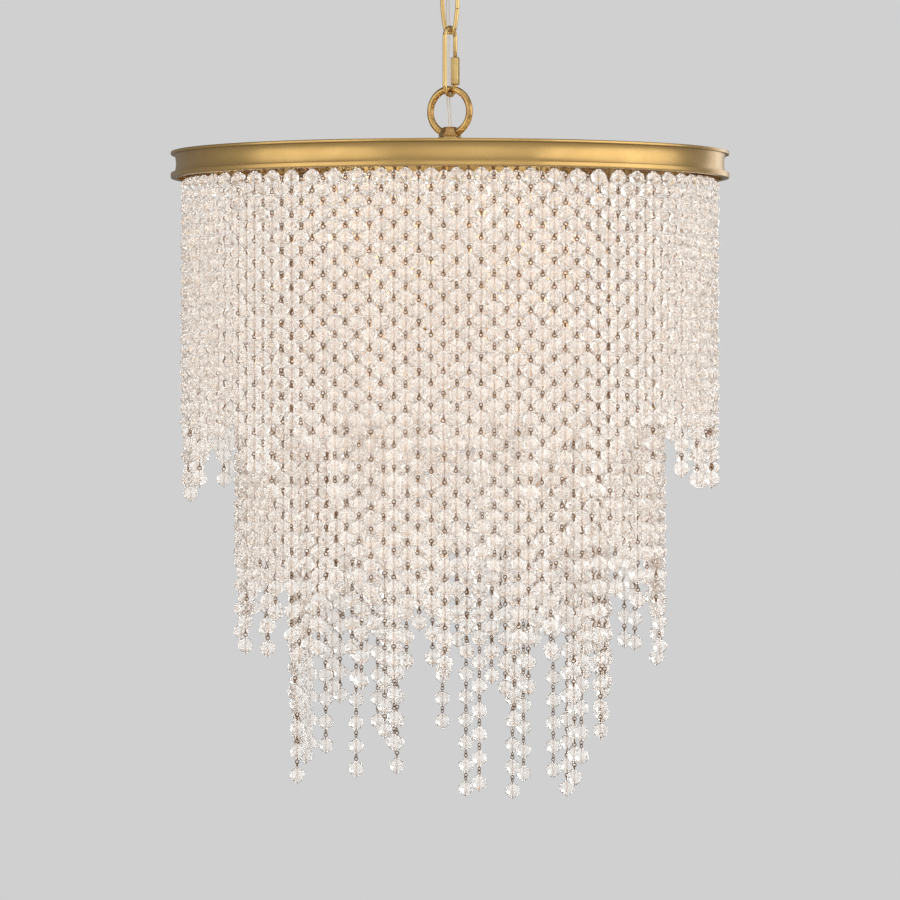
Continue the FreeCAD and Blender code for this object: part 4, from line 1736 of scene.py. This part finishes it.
    def filament(self, foot: float, height: float) -> Shape:
        """Two stems with a drooping filament between them, on the axis.

        Args:
            foot: Height of the stems' lower ends.
            height: Height of the bulb above them.

        Returns:
            The wires of one bulb.
        """
        stem_radius, filament_radius, in_front = 0.35, 0.5, 0.6
        tip = foot + height * 0.6
        dip = foot + height * 0.34
        wire = Shape()
        for side in (1, -1):
            stem = [(side * 1.5, foot), (side * 3.6, foot + height * 0.2), (side * 2.6, tip)]
            wire.sweep([Vector((x, 0, z)) for x, z in flowing(stem, 5)], stem_radius, self.wire_sides)
        loop = [(2.6, tip), (4.2, dip), (0, foot + height * 0.42), (-4.2, dip), (-2.6, tip)]
        wire.sweep([Vector((x, in_front, z)) for x, z in flowing(loop, 6)], filament_radius, self.wire_sides)
        return wire


# Bead curtains

class StrandNodes:
    """Geometry node trees that hang beads and their wires from hook points."""

    def __init__(self, sizes: BeadSizes) -> None:
        self.sizes = sizes
        self.glass = self.glass_tree()
        self.wires = self.wire_tree()

    def new_tree(self, name: str) -> tuple[bpy.types.NodeTree, bpy.types.Node]:
        """Starts a tree whose inputs are the strands' sizes.

        Args:
            name: Name of the tree.

        Returns:
            The tree and its input node.
        """
        tree = bpy.data.node_groups.new(name, "GeometryNodeTree")
        face = tree.interface
        face.new_socket("Geometry", in_out="INPUT", socket_type="NodeSocketGeometry")
        for label in ("Pitch", "First Drop", "Width", "Length", "Eye Radius", "Eye Height", "Wire"):
            face.new_socket(label, in_out="INPUT", socket_type="NodeSocketFloat")
        face.new_socket("Material", in_out="INPUT", socket_type="NodeSocketMaterial")
        face.new_socket("Geometry", in_out="OUTPUT", socket_type="NodeSocketGeometry")
        return tree, add_node(tree, "NodeGroupInput")

    def attribute(self, tree: bpy.types.NodeTree, name: str, kind: str) -> bpy.types.NodeSocket:
        """Reads a value that the hook points carry."""
        return add_node(tree, "GeometryNodeInputNamedAttribute", {"Name": name}, data_type=kind).outputs[0]

    def bead_points(self, tree: bpy.types.NodeTree, given: bpy.types.Node) -> tuple:
        """Turns each hook point into one point for every bead of its strand.

        Args:
            tree: Tree that gets the nodes.
            given: Its input node.

        Returns:
            The bead points and the number of each bead on its strand, counted from the hook.
        """
        hooks = add_node(tree, "GeometryNodeMeshToPoints", {"Mesh": given.outputs["Geometry"]})
        copies = add_node(tree, "GeometryNodeDuplicateElements", {
            "Geometry": hooks.outputs[0], "Amount": self.attribute(tree, "beads", "INT"),
        }, domain="POINT")
        number = copies.outputs["Duplicate Index"]
        half_steps = calculated(tree, "MULTIPLY", self.attribute(tree, "lowered", "INT"), 0.5)
        steps = calculated(tree, "ADD", number, half_steps)
        fall = calculated(tree, "MULTIPLY", steps, given.outputs["Pitch"])
        depth = calculated(tree, "ADD", fall, given.outputs["First Drop"])
        offset = add_node(tree, "ShaderNodeVectorMath", {
            0: self.attribute(tree, "hang", "FLOAT_VECTOR"), "Scale": depth,
        }, operation="SCALE")
        moved = add_node(tree, "GeometryNodeSetPosition", {
            "Geometry": copies.outputs[0], "Offset": offset.outputs[0],
        })
        return moved.outputs[0], number

    def finish(self, tree: bpy.types.NodeTree, given: bpy.types.Node, geometry: bpy.types.NodeSocket) -> None:
        """Ends a tree with real geometry and its material.

        Args:
            tree: Tree that gets the nodes.
            given: Its input node.
            geometry: The tree's result.
        """
        real = add_node(tree, "GeometryNodeRealizeInstances", {"Geometry": geometry})
        coated = add_node(tree, "GeometryNodeSetMaterial", {
            "Geometry": real.outputs[0], "Material": given.outputs["Material"],
        })
        add_node(tree, "NodeGroupOutput", {"Geometry": coated.outputs[0]})

    def glass_tree(self) -> bpy.types.NodeTree:
        """Builds the tree that hangs a cut bead at every bead point.

        Returns:
            The tree.
        """
        tree, given = self.new_tree("hang_cut_beads")
        points, number = self.bead_points(tree, given)
        tilt = self.sizes.tilt
        turn = add_node(tree, "FunctionNodeRandomValue", {
            0: (-tilt, -tilt, 0.0), 1: (tilt, tilt, 2 * pi), "Seed": self.sizes.turn_draw,
        }, data_type="FLOAT_VECTOR")
        beads = add_node(tree, "GeometryNodeInstanceOnPoints", {
            "Points": points, "Instance": self.cut_bead(tree, given), "Rotation": turn.outputs[0],
        })
        self.finish(tree, given, beads.outputs[0])
        return tree

    def cut_bead(self, tree: bpy.types.NodeTree, given: bpy.types.Node) -> bpy.types.NodeSocket:
        """One bead of flat facets, each row turned half a facet against the next.

        Args:
            tree: Tree that gets the nodes.
            given: Its input node.

        Returns:
            The bead's geometry.
        """
        half = calculated(tree, "MULTIPLY", given.outputs["Length"], 0.5)
        low = calculated(tree, "MULTIPLY", half, -1.0)
        rows = add_node(tree, "GeometryNodeResampleCurve", {
            "Curve": self.upright_line(tree, low, half), "Count": self.sizes.rings,
        })
        spot = add_node(tree, "GeometryNodeSplineParameter")
        twist = calculated(tree, "MULTIPLY", spot.outputs["Index"], pi / self.sizes.facets)
        tilted = add_node(tree, "GeometryNodeSetCurveTilt", {"Curve": rows.outputs[0], "Tilt": twist})
        fullness = add_node(tree, "ShaderNodeFloatCurve", {"Value": spot.outputs["Factor"]})
        rise = fullness.mapping.curves[0].points
        rise[0].location = (0.0, self.sizes.tip_fullness)
        rise[1].location = (1.0, self.sizes.tip_fullness)
        for where, full in ((0.2, 0.8), (0.4, 1.0), (0.6, 1.0), (0.8, 0.8)):
            rise.new(where, full)
        for point in rise:
            point.handle_type = "VECTOR"
        fullness.mapping.update()
        radius = calculated(tree, "MULTIPLY", given.outputs["Width"], 0.5)
        outline = add_node(tree, "GeometryNodeCurvePrimitiveCircle", {
            "Resolution": self.sizes.facets, "Radius": radius,
        })
        cut = add_node(tree, "GeometryNodeCurveToMesh", {
            "Curve": tilted.outputs[0], "Profile Curve": outline.outputs[0],
            "Scale": fullness.outputs[0], "Fill Caps": True,
        })
        facets = add_node(tree, "GeometryNodeTriangulate", {
            "Mesh": cut.outputs[0],
        }, quad_method="SHORTEST_DIAGONAL")
        flat = add_node(tree, "GeometryNodeSetShadeSmooth", {
            "Geometry": facets.outputs[0], "Shade Smooth": False,
        })
        return flat.outputs[0]

    def upright_line(self, tree: bpy.types.NodeTree, low: Number, high: Number) -> bpy.types.NodeSocket:
        """Straight curve on the axis between two heights.

        Args:
            tree: Tree that gets the nodes.
            low: Height of its lower end in metres.
            high: Height of its upper end in metres.

        Returns:
            The curve.
        """
        start = add_node(tree, "ShaderNodeCombineXYZ", {"Z": low})
        end = add_node(tree, "ShaderNodeCombineXYZ", {"Z": high})
        line = add_node(tree, "GeometryNodeCurvePrimitiveLine", {
            "Start": start.outputs[0], "End": end.outputs[0],
        })
        return line.outputs[0]

    def eye(self, tree: bpy.types.NodeTree, given: bpy.types.Node, radius: Number,
            height: Number) -> bpy.types.NodeSocket:
        """Upright eye of wire at a height, in the XZ plane.

        Args:
            tree: Tree that gets the nodes.
            given: Its input node.
            radius: Radius of the eye's middle line in metres.
            height: Height of its centre in metres.

        Returns:
            The eye's geometry.
        """
        ring = add_node(tree, "GeometryNodeCurvePrimitiveCircle", {
            "Resolution": self.sizes.eye_steps, "Radius": radius,
        })
        bent = add_node(tree, "GeometryNodeCurveToMesh", {
            "Curve": ring.outputs[0], "Profile Curve": self.wire_outline(tree, given),
        })
        lift = add_node(tree, "ShaderNodeCombineXYZ", {"Z": height})
        upright = add_node(tree, "GeometryNodeTransform", {
            "Geometry": bent.outputs[0], "Translation": lift.outputs[0], "Rotation": (pi / 2, 0, 0),
        })
        return upright.outputs[0]

    def hook_ring(self, tree: bpy.types.NodeTree, given: bpy.types.Node) -> bpy.types.NodeSocket:
        """Long ring that goes round the hoop's lower edge and holds a strand's top eye.

        Args:
            tree: Tree that gets the nodes.
            given: Its input node.

        Returns:
            The ring's geometry.
        """
        size = self.sizes
        ring = self.eye(tree, given, size.hook_ring_radius * MM, 0.0)
        middle = size.hook_ring_rise - size.hook_ring_height / 2
        tall = size.hook_ring_height / 2 / size.hook_ring_radius
        placed = add_node(tree, "GeometryNodeTransform", {
            "Geometry": ring, "Translation": (0, 0, middle * MM), "Scale": (1, 1, tall),
        })
        return placed.outputs[0]

    def wire_outline(self, tree: bpy.types.NodeTree, given: bpy.types.Node) -> bpy.types.NodeSocket:
        """Section of the pins' wire.

        Args:
            tree: Tree that gets the nodes.
            given: Its input node.

        Returns:
            The section as a curve.
        """
        radius = calculated(tree, "MULTIPLY", given.outputs["Wire"], 0.5)
        outline = add_node(tree, "GeometryNodeCurvePrimitiveCircle", {
            "Resolution": self.sizes.wire_sides, "Radius": radius,
        })
        return outline.outputs[0]

    def straight(self, tree: bpy.types.NodeTree, given: bpy.types.Node, low: Number,
                 high: Number) -> bpy.types.NodeSocket:
        """Straight upright wire between two heights.

        Args:
            tree: Tree that gets the nodes.
            given: Its input node.
            low: Height of its lower end in metres.
            high: Height of its upper end in metres.

        Returns:
            The wire's geometry.
        """
        wire = add_node(tree, "GeometryNodeCurveToMesh", {
            "Curve": self.upright_line(tree, low, high), "Profile Curve": self.wire_outline(tree, given),
            "Scale": self.sizes.pin_thinning, "Fill Caps": True,
        })
        return wire.outputs[0]

    def together(self, tree: bpy.types.NodeTree, *parts: bpy.types.NodeSocket) -> bpy.types.NodeSocket:
        """Joins several geometries into one.

        Args:
            tree: Tree that gets the nodes.
            parts: What is joined.

        Returns:
            The joined geometry.
        """
        join = add_node(tree, "GeometryNodeJoinGeometry")
        for part in parts:
            tree.links.new(part, join.inputs[0])
        return join.outputs[0]

    def quarter_turns(self, tree: bpy.types.NodeTree, base: str, count: Number) -> bpy.types.NodeSocket:
        """Turn round the strand: its hoop's heading or its own twist, and a number of quarter turns.

        Args:
            tree: Tree that gets the nodes.
            base: Attribute that holds the heading or the twist.
            count: Number of quarter turns.

        Returns:
            The turn about the three axes.
        """
        turned = calculated(tree, "MULTIPLY", count, pi / 2)
        yaw = calculated(tree, "ADD", turned, self.attribute(tree, base, "FLOAT"))
        return add_node(tree, "ShaderNodeCombineXYZ", {"Z": yaw}).outputs[0]

    def hung(self, tree: bpy.types.NodeTree, points: bpy.types.NodeSocket, part: bpy.types.NodeSocket,
             turn: bpy.types.NodeSocket, chosen: bpy.types.NodeSocket | None = None) -> bpy.types.NodeSocket:
        """Copies of a wire part at the chosen points.

        Args:
            tree: Tree that gets the nodes.
            points: Points that may get a copy.
            part: Geometry that is copied.
            turn: Turn of each copy.
            chosen: Which points get one, or every point if it is left out.

        Returns:
            The copies as instances.
        """
        inputs = {"Points": points, "Instance": part, "Rotation": turn}
        if chosen is not None:
            inputs["Selection"] = chosen
        return add_node(tree, "GeometryNodeInstanceOnPoints", inputs).outputs[0]

    def wire_tree(self) -> bpy.types.NodeTree:
        """Builds the tree of hook rings, hanger wires, eye pins and head pins.

        Returns:
            The tree.
        """
        tree, given = self.new_tree("hang_bead_wires")
        size = self.sizes
        points, number = self.bead_points(tree, given)
        lowered = self.attribute(tree, "lowered", "INT")
        eye_radius = given.outputs["Eye Radius"]
        eye_height = given.outputs["Eye Height"]
        reach = calculated(tree, "SUBTRACT", eye_height, eye_radius)
        below = calculated(tree, "MULTIPLY", eye_height, -1.0)
        last = calculated(tree, "SUBTRACT", self.attribute(tree, "beads", "INT"), 1.0)
        is_last = calculated(tree, "COMPARE", number, last)
        goes_on = calculated(tree, "SUBTRACT", 1.0, is_last)
        quarters = calculated(tree, "ADD", calculated(tree, "ADD", number, lowered), 1.0)
        turn = self.quarter_turns(tree, "twist", quarters)
        head = calculated(tree, "MULTIPLY", given.outputs["Length"], -0.5)
        head_end = calculated(tree, "SUBTRACT", head, size.head_pin * MM)
        upper = self.together(
            tree, self.eye(tree, given, eye_radius, eye_height), self.straight(tree, given, head, reach),
        )
        lower = self.together(
            tree, self.eye(tree, given, eye_radius, below),
            self.straight(tree, given, calculated(tree, "MULTIPLY", reach, -1.0), head),
        )
        tail = self.straight(tree, given, head_end, head)
        pins = [
            self.hung(tree, points, upper, turn),
            self.hung(tree, points, lower, turn, goes_on),
            self.hung(tree, points, tail, turn, is_last),
        ]
        hooks = add_node(tree, "GeometryNodeMeshToPoints", {"Mesh": given.outputs["Geometry"]}).outputs[0]
        ring = self.hook_ring(tree, given)
        half_pitch = size.pitch / 2
        low_eye = -size.hanger_eye_drop - half_pitch + (size.pitch - 2 * size.eye_height)
        hanger_low = low_eye + size.eye_radius
        hanger_high = -(size.hanger_eye_drop + size.eye_radius)
        hanger = self.together(
            tree,
            self.eye(tree, given, eye_radius, -size.hanger_eye_drop * MM),
            self.straight(tree, given, hanger_low * MM, hanger_high * MM),
            self.eye(tree, given, eye_radius, low_eye * MM),
        )
        pins.append(self.hung(tree, hooks, ring, self.quarter_turns(tree, "heading", 0.0)))
        pins.append(self.hung(tree, hooks, hanger, self.quarter_turns(tree, "twist", 1.0), lowered))
        self.finish(tree, given, self.together(tree, *pins))
        return tree

    def hang(self, name: str, hooks: bpy.types.Mesh, tree: bpy.types.NodeTree,
             material: bpy.types.Material) -> bpy.types.Object:
        """Runs a tree on hook points and keeps the plain mesh that comes out.

        Args:
            name: The piece's name.
            hooks: Mesh of the hook points.
            tree: One of the two trees.
            material: Material of the piece.

        Returns:
            The piece, with no modifier left on it.
        """
        size = self.sizes
        values = {
            "Pitch": size.pitch * MM, "First Drop": size.first_drop * MM, "Width": size.width * MM,
            "Length": size.length * MM, "Eye Radius": size.eye_radius * MM,
            "Eye Height": size.eye_height * MM, "Wire": size.wire * MM, "Material": material,
        }
        piece = bpy.data.objects.new(name, hooks)
        bpy.context.scene.collection.objects.link(piece)
        modifier = piece.modifiers.new("strands", "NODES")
        modifier.node_group = tree
        for socket in tree.interface.items_tree:
            if socket.item_type == "SOCKET" and socket.in_out == "INPUT" and socket.name in values:
                modifier[socket.identifier] = values[socket.name]
        view = bpy.context.evaluated_depsgraph_get()
        mesh = bpy.data.meshes.new_from_object(piece.evaluated_get(view))
        piece.modifiers.clear()
        mesh.name = name
        piece.data = mesh
        return piece


@dataclass
class BeadTier:
    """One curtain of strands in eight sectors."""

    sizes: TierSizes
    beads: BeadSizes
    drum: DrumSizes
    nodes: StrandNodes
    finishes: Finishes

    def hooks(self, sector: int) -> bpy.types.Mesh:
        """Mesh of a sector's hook points with what each strand needs to know.

        Args:
            sector: Number of the sector, from 0.

        Returns:
            Loose points that carry beads, lowered, heading, twist and hang.
        """
        size = self.sizes
        dice = random.Random(size.draw + sector)
        strands = size.sector(sector)
        headings = [360 * (index + 0.5) / size.strands for index in strands]
        mesh = bpy.data.meshes.new("%s_hooks_%d" % (size.name, sector + 1))
        points = [on_circle(size.radius, heading, self.drum.hook) * MM for heading in headings]
        mesh.from_pydata(points, [], [])
        counts = size.bead_counts()
        for label, kind, values in (
            ("beads", "INT", [counts[index] for index in strands]),
            ("lowered", "INT", [index % 2 for index in strands]),
            ("heading", "FLOAT", [radians(angle) for angle in headings]),
            ("twist", "FLOAT", [dice.uniform(0, pi) for index in strands]),
        ):
            mesh.attributes.new(label, kind, "POINT").data.foreach_set("value", values)
        hang = mesh.attributes.new("hang", "FLOAT_VECTOR", "POINT")
        lean = self.beads.lean
        for item in hang.data:
            fall = 1 + dice.uniform(-self.beads.stretch, self.beads.stretch)
            item.vector = (dice.uniform(-lean, lean), dice.uniform(-lean, lean), -fall)
        return mesh

    def build(self) -> None:
        """Hangs the glass and the wires of every sector on its curtain's body."""
        name = self.sizes.name
        nodes = self.nodes
        for sector in range(self.sizes.sectors):
            number = sector + 1
            body = "%s_curtain_%d" % (name, number)
            beads_name = "%s_beads_%d" % (name, number)
            pins_name = "%s_pins_%d" % (name, number)
            glass = nodes.hang(beads_name, self.hooks(sector), nodes.glass, self.finishes.crystal)
            wires = nodes.hang(pins_name, self.hooks(sector), nodes.wires, self.finishes.pin_brass)
            place(glass, body, Slot.BEAD, "%s_strands_%d" % (name, number))
            place(wires, body, Slot.BRASS)


# Studio

@dataclass(frozen=True)
class SoftBox:
    """Tall soft light that faces the object.

    The azimuth is its heading from the camera, positive to the viewer's right. The power is in watts
    and the width in metres.
    """

    name: str
    azimuth: float
    power: float
    width: float


SOFT_BOXES = (
    SoftBox("left_soft_box", -58, 17.5, 3.2),
    SoftBox("right_soft_box", 72, 33.0, 3.9),
    SoftBox("front_fill", 8, 4.0, 2.0),
    SoftBox("rear_right_edge", 146, 9.0, 1.2),
)


@dataclass(frozen=True)
class StudioSizes:
    """Camera, lights and floor, in metres where they are far from the object, with powers in watts."""

    frame_pixels: int = 900
    mm_per_pixel: float = 0.9104
    distance: float = 5.46
    eye_height: float = -0.5476
    floor_z: float = -1.45
    floor_radius: float = 5.5
    floor_thickness: float = 0.04
    floor_sides: int = 96
    sensor: float = 36.0
    room_strength: float = 1.65
    backdrop_strength: float = 0.74
    # Brightness of what metal mirrors: behind the object, on the level, and straight up or down
    mirrored_backdrop: float = 0.27
    mirrored_level: float = 0.8
    mirrored_ceiling: float = 0.15
    box_height: float = 2.2
    box_distance: float = 3.0
    box_rise: float = 0.6
    top_width: float = 2.5
    top_power: float = 18.0
    top_height: float = 1.6
    top_forward: float = 0.6
    top_target: float = -0.4
    lamp_power: float = 0.7
    lamp_glow_radius: float = 0.02
    # How far the lamps' light stands inside their circle, in millimetres, and how high up the bulb
    lamp_glow_inset: float = 14.0
    lamp_glow_share: float = 0.4


@dataclass
class Studio:
    """Pale room whose soft boxes stand where the band's highlights in the photograph ask for them."""

    sizes: StudioSizes
    light: LightSizes
    finishes: Finishes

    def build(self) -> None:
        """Makes the camera, the world, the lights and the floor."""
        self.camera()
        self.world()
        for box in SOFT_BOXES:
            self.soft_box(box)
        self.top_light()
        self.lamps()
        self.floor()

    def camera(self) -> None:
        """Level camera in front, at the photograph's distance and scale."""
        size = self.sizes
        field = size.frame_pixels * size.mm_per_pixel * MM
        data = bpy.data.cameras.new("photo_camera")
        data.sensor_width = size.sensor
        data.lens = size.sensor * size.distance / field
        data.clip_end = 100
        camera = bpy.data.objects.new("photo_camera", data)
        camera.location = (0, -size.distance, size.eye_height)
        camera.rotation_euler = (pi / 2, 0, 0)
        bpy.context.scene.collection.objects.link(camera)
        bpy.context.scene.camera = camera

    def world(self) -> None:
        """Pale grey to the camera, and a room round the object for what it reflects and lets through.

        Light that comes through glass meets a bright room with a greyer backdrop behind the object.
        What metal mirrors gets darker towards that backdrop, the ceiling and the floor.
        """
        world = bpy.data.worlds.new("pale_room")
        world.use_nodes = True
        bpy.context.scene.world = world
        tree = world.node_tree
        tree.nodes.clear()
        path = add_node(tree, "ShaderNodeLightPath")
        direction = add_node(tree, "ShaderNodeTexCoord").outputs["Generated"]
        axes = add_node(tree, "ShaderNodeSeparateXYZ", {0: direction})
        behind = add_node(tree, "ShaderNodeMapRange", {
            "Value": axes.outputs["Y"], "From Min": -1.0, "From Max": 1.0,
            "To Min": 1.0, "To Max": self.sizes.mirrored_backdrop,
        }).outputs[0]
        open_room = add_node(tree, "ShaderNodeMapRange", {
            "Value": axes.outputs["Y"], "From Min": -0.3, "From Max": 0.7,
            "To Min": self.sizes.room_strength, "To Max": self.sizes.backdrop_strength,
        }).outputs[0]
        off_level = calculated(tree, "ABSOLUTE", axes.outputs["Z"], 0.0)
        level = add_node(tree, "ShaderNodeMapRange", {
            "Value": off_level, "From Min": 0.1, "From Max": 0.9,
            "To Min": self.sizes.mirrored_level, "To Max": self.sizes.mirrored_ceiling,
        }).outputs[0]
        mirrored = calculated(tree, "MULTIPLY", behind, level)
        through = calculated(tree, "SUBTRACT", 1.0, path.outputs["Is Transmission Ray"])
        reflected = calculated(tree, "MULTIPLY", through, path.outputs["Is Glossy Ray"])
        loss = calculated(tree, "MULTIPLY", reflected, calculated(tree, "SUBTRACT", open_room, mirrored))
        room = add_node(tree, "ShaderNodeBackground", {
            "Color": linear("#FBFAF8"), "Strength": calculated(tree, "SUBTRACT", open_room, loss),
        })
        view = add_node(tree, "ShaderNodeBackground", {"Color": linear("#D0D0D0"), "Strength": 1.0})
        mixed = add_node(tree, "ShaderNodeMixShader", {
            0: path.outputs["Is Camera Ray"], 1: room.outputs[0], 2: view.outputs[0],
        })
        add_node(tree, "ShaderNodeOutputWorld", {"Surface": mixed.outputs[0]})

    def light_object(self, name: str, data: bpy.types.Light, location: Vector,
                     target: Vector) -> bpy.types.Object:
        """Puts a light in the scene, aimed at a point.

        Args:
            name: The light's name.
            data: What kind of light it is.
            location: Where it stands.
            target: Where it aims.

        Returns:
            The light.
        """
        light = bpy.data.objects.new(name, data)
        light.location = location
        light.rotation_euler = (target - location).to_track_quat("-Z", "Y").to_euler()
        bpy.context.scene.collection.objects.link(light)
        return light

    def soft_box(self, box: SoftBox) -> None:
        """Puts up one slightly warm soft box.

        Args:
            box: Its place, power and width.
        """
        size = self.sizes
        data = bpy.data.lights.new(box.name, "AREA")
        data.shape = "RECTANGLE"
        data.size = box.width
        data.size_y = size.box_height
        data.energy = box.power
        data.color = (1.0, 0.985, 0.965)
        location = on_circle(size.box_distance, box.azimuth - 90, size.eye_height + size.box_rise)
        self.light_object(box.name, data, location, Vector((0, 0, size.eye_height)))

    def top_light(self) -> None:
        """Wide weak light from above."""
        size = self.sizes
        data = bpy.data.lights.new("top_light", "AREA")
        data.size = size.top_width
        data.energy = size.top_power
        location = Vector((0, -size.top_forward, size.top_height))
        self.light_object("top_light", data, location, Vector((0, 0, size.top_target)))

    def lamps(self) -> None:
        """Warm light of the six bulbs, just inside their circle."""
        size = self.light
        studio = self.sizes
        middle = size.socket_top + size.bulb_height * studio.lamp_glow_share
        radius = size.lamp_radius - size.bulb_diameter / 2 - studio.lamp_glow_inset
        for number in range(size.lamp_count):
            name = "lamp_light_%d" % (number + 1)
            data = bpy.data.lights.new(name, "POINT")
            data.energy = studio.lamp_power
            data.color = linear("#FFC27A")[:3]
            data.shadow_soft_size = studio.lamp_glow_radius
            spot = on_circle(radius, 360 / size.lamp_count * number, middle) * MM
            light = self.light_object(name, data, spot, spot - UP)
            light.visible_glossy = False
            light.visible_transmission = False

    def floor(self) -> None:
        """Round pale floor far below, out of the photograph's frame, that metal and glass don't see."""
        size = self.sizes
        rim = size.floor_radius / MM
        top = size.floor_z / MM
        edge = size.floor_thickness / MM
        profile = [(rim - edge, top), (rim, top - edge / 2), (rim, top - edge)]
        disc = Shape().turning(profile, size.floor_sides)
        piece = disc.piece("studio_floor", self.finishes.floor)
        piece.visible_glossy = False
        piece.visible_transmission = False


def main() -> None:
    """Builds the chandelier and its studio, and logs every piece."""
    logging.basicConfig(level=logging.INFO, format="%(message)s")
    finishes = Finishes()
    ceiling = CeilingSizes()
    chain = ChainSizes()
    drum = DrumSizes()
    light = LightSizes()
    beads = BeadSizes()
    tiers = [
        TierSizes("outer", 238.5, 136, 14, 4, 1818),
        TierSizes("middle", 189.4, 108, 21, 6, 10400),
        TierSizes("inner", 140.0, 80, 27, 10, 22922),
    ]
    bpy.context.scene.view_settings.view_transform = "Standard"
    Studio(StudioSizes(), light, finishes).build()
    SupplyCord(ceiling, chain, drum, finishes).build()
    CeilingFitting(ceiling, chain, finishes).build()
    Chain(chain, finishes).build()
    DrumTop(drum, light, finishes).build(tiers)
    LightCluster(light, finishes).build()
    nodes = StrandNodes(beads)
    for tier in tiers:
        BeadTier(tier, beads, drum, nodes, finishes).build()
    log.info("every piece is built")


if __name__ == "__main__":
    main()
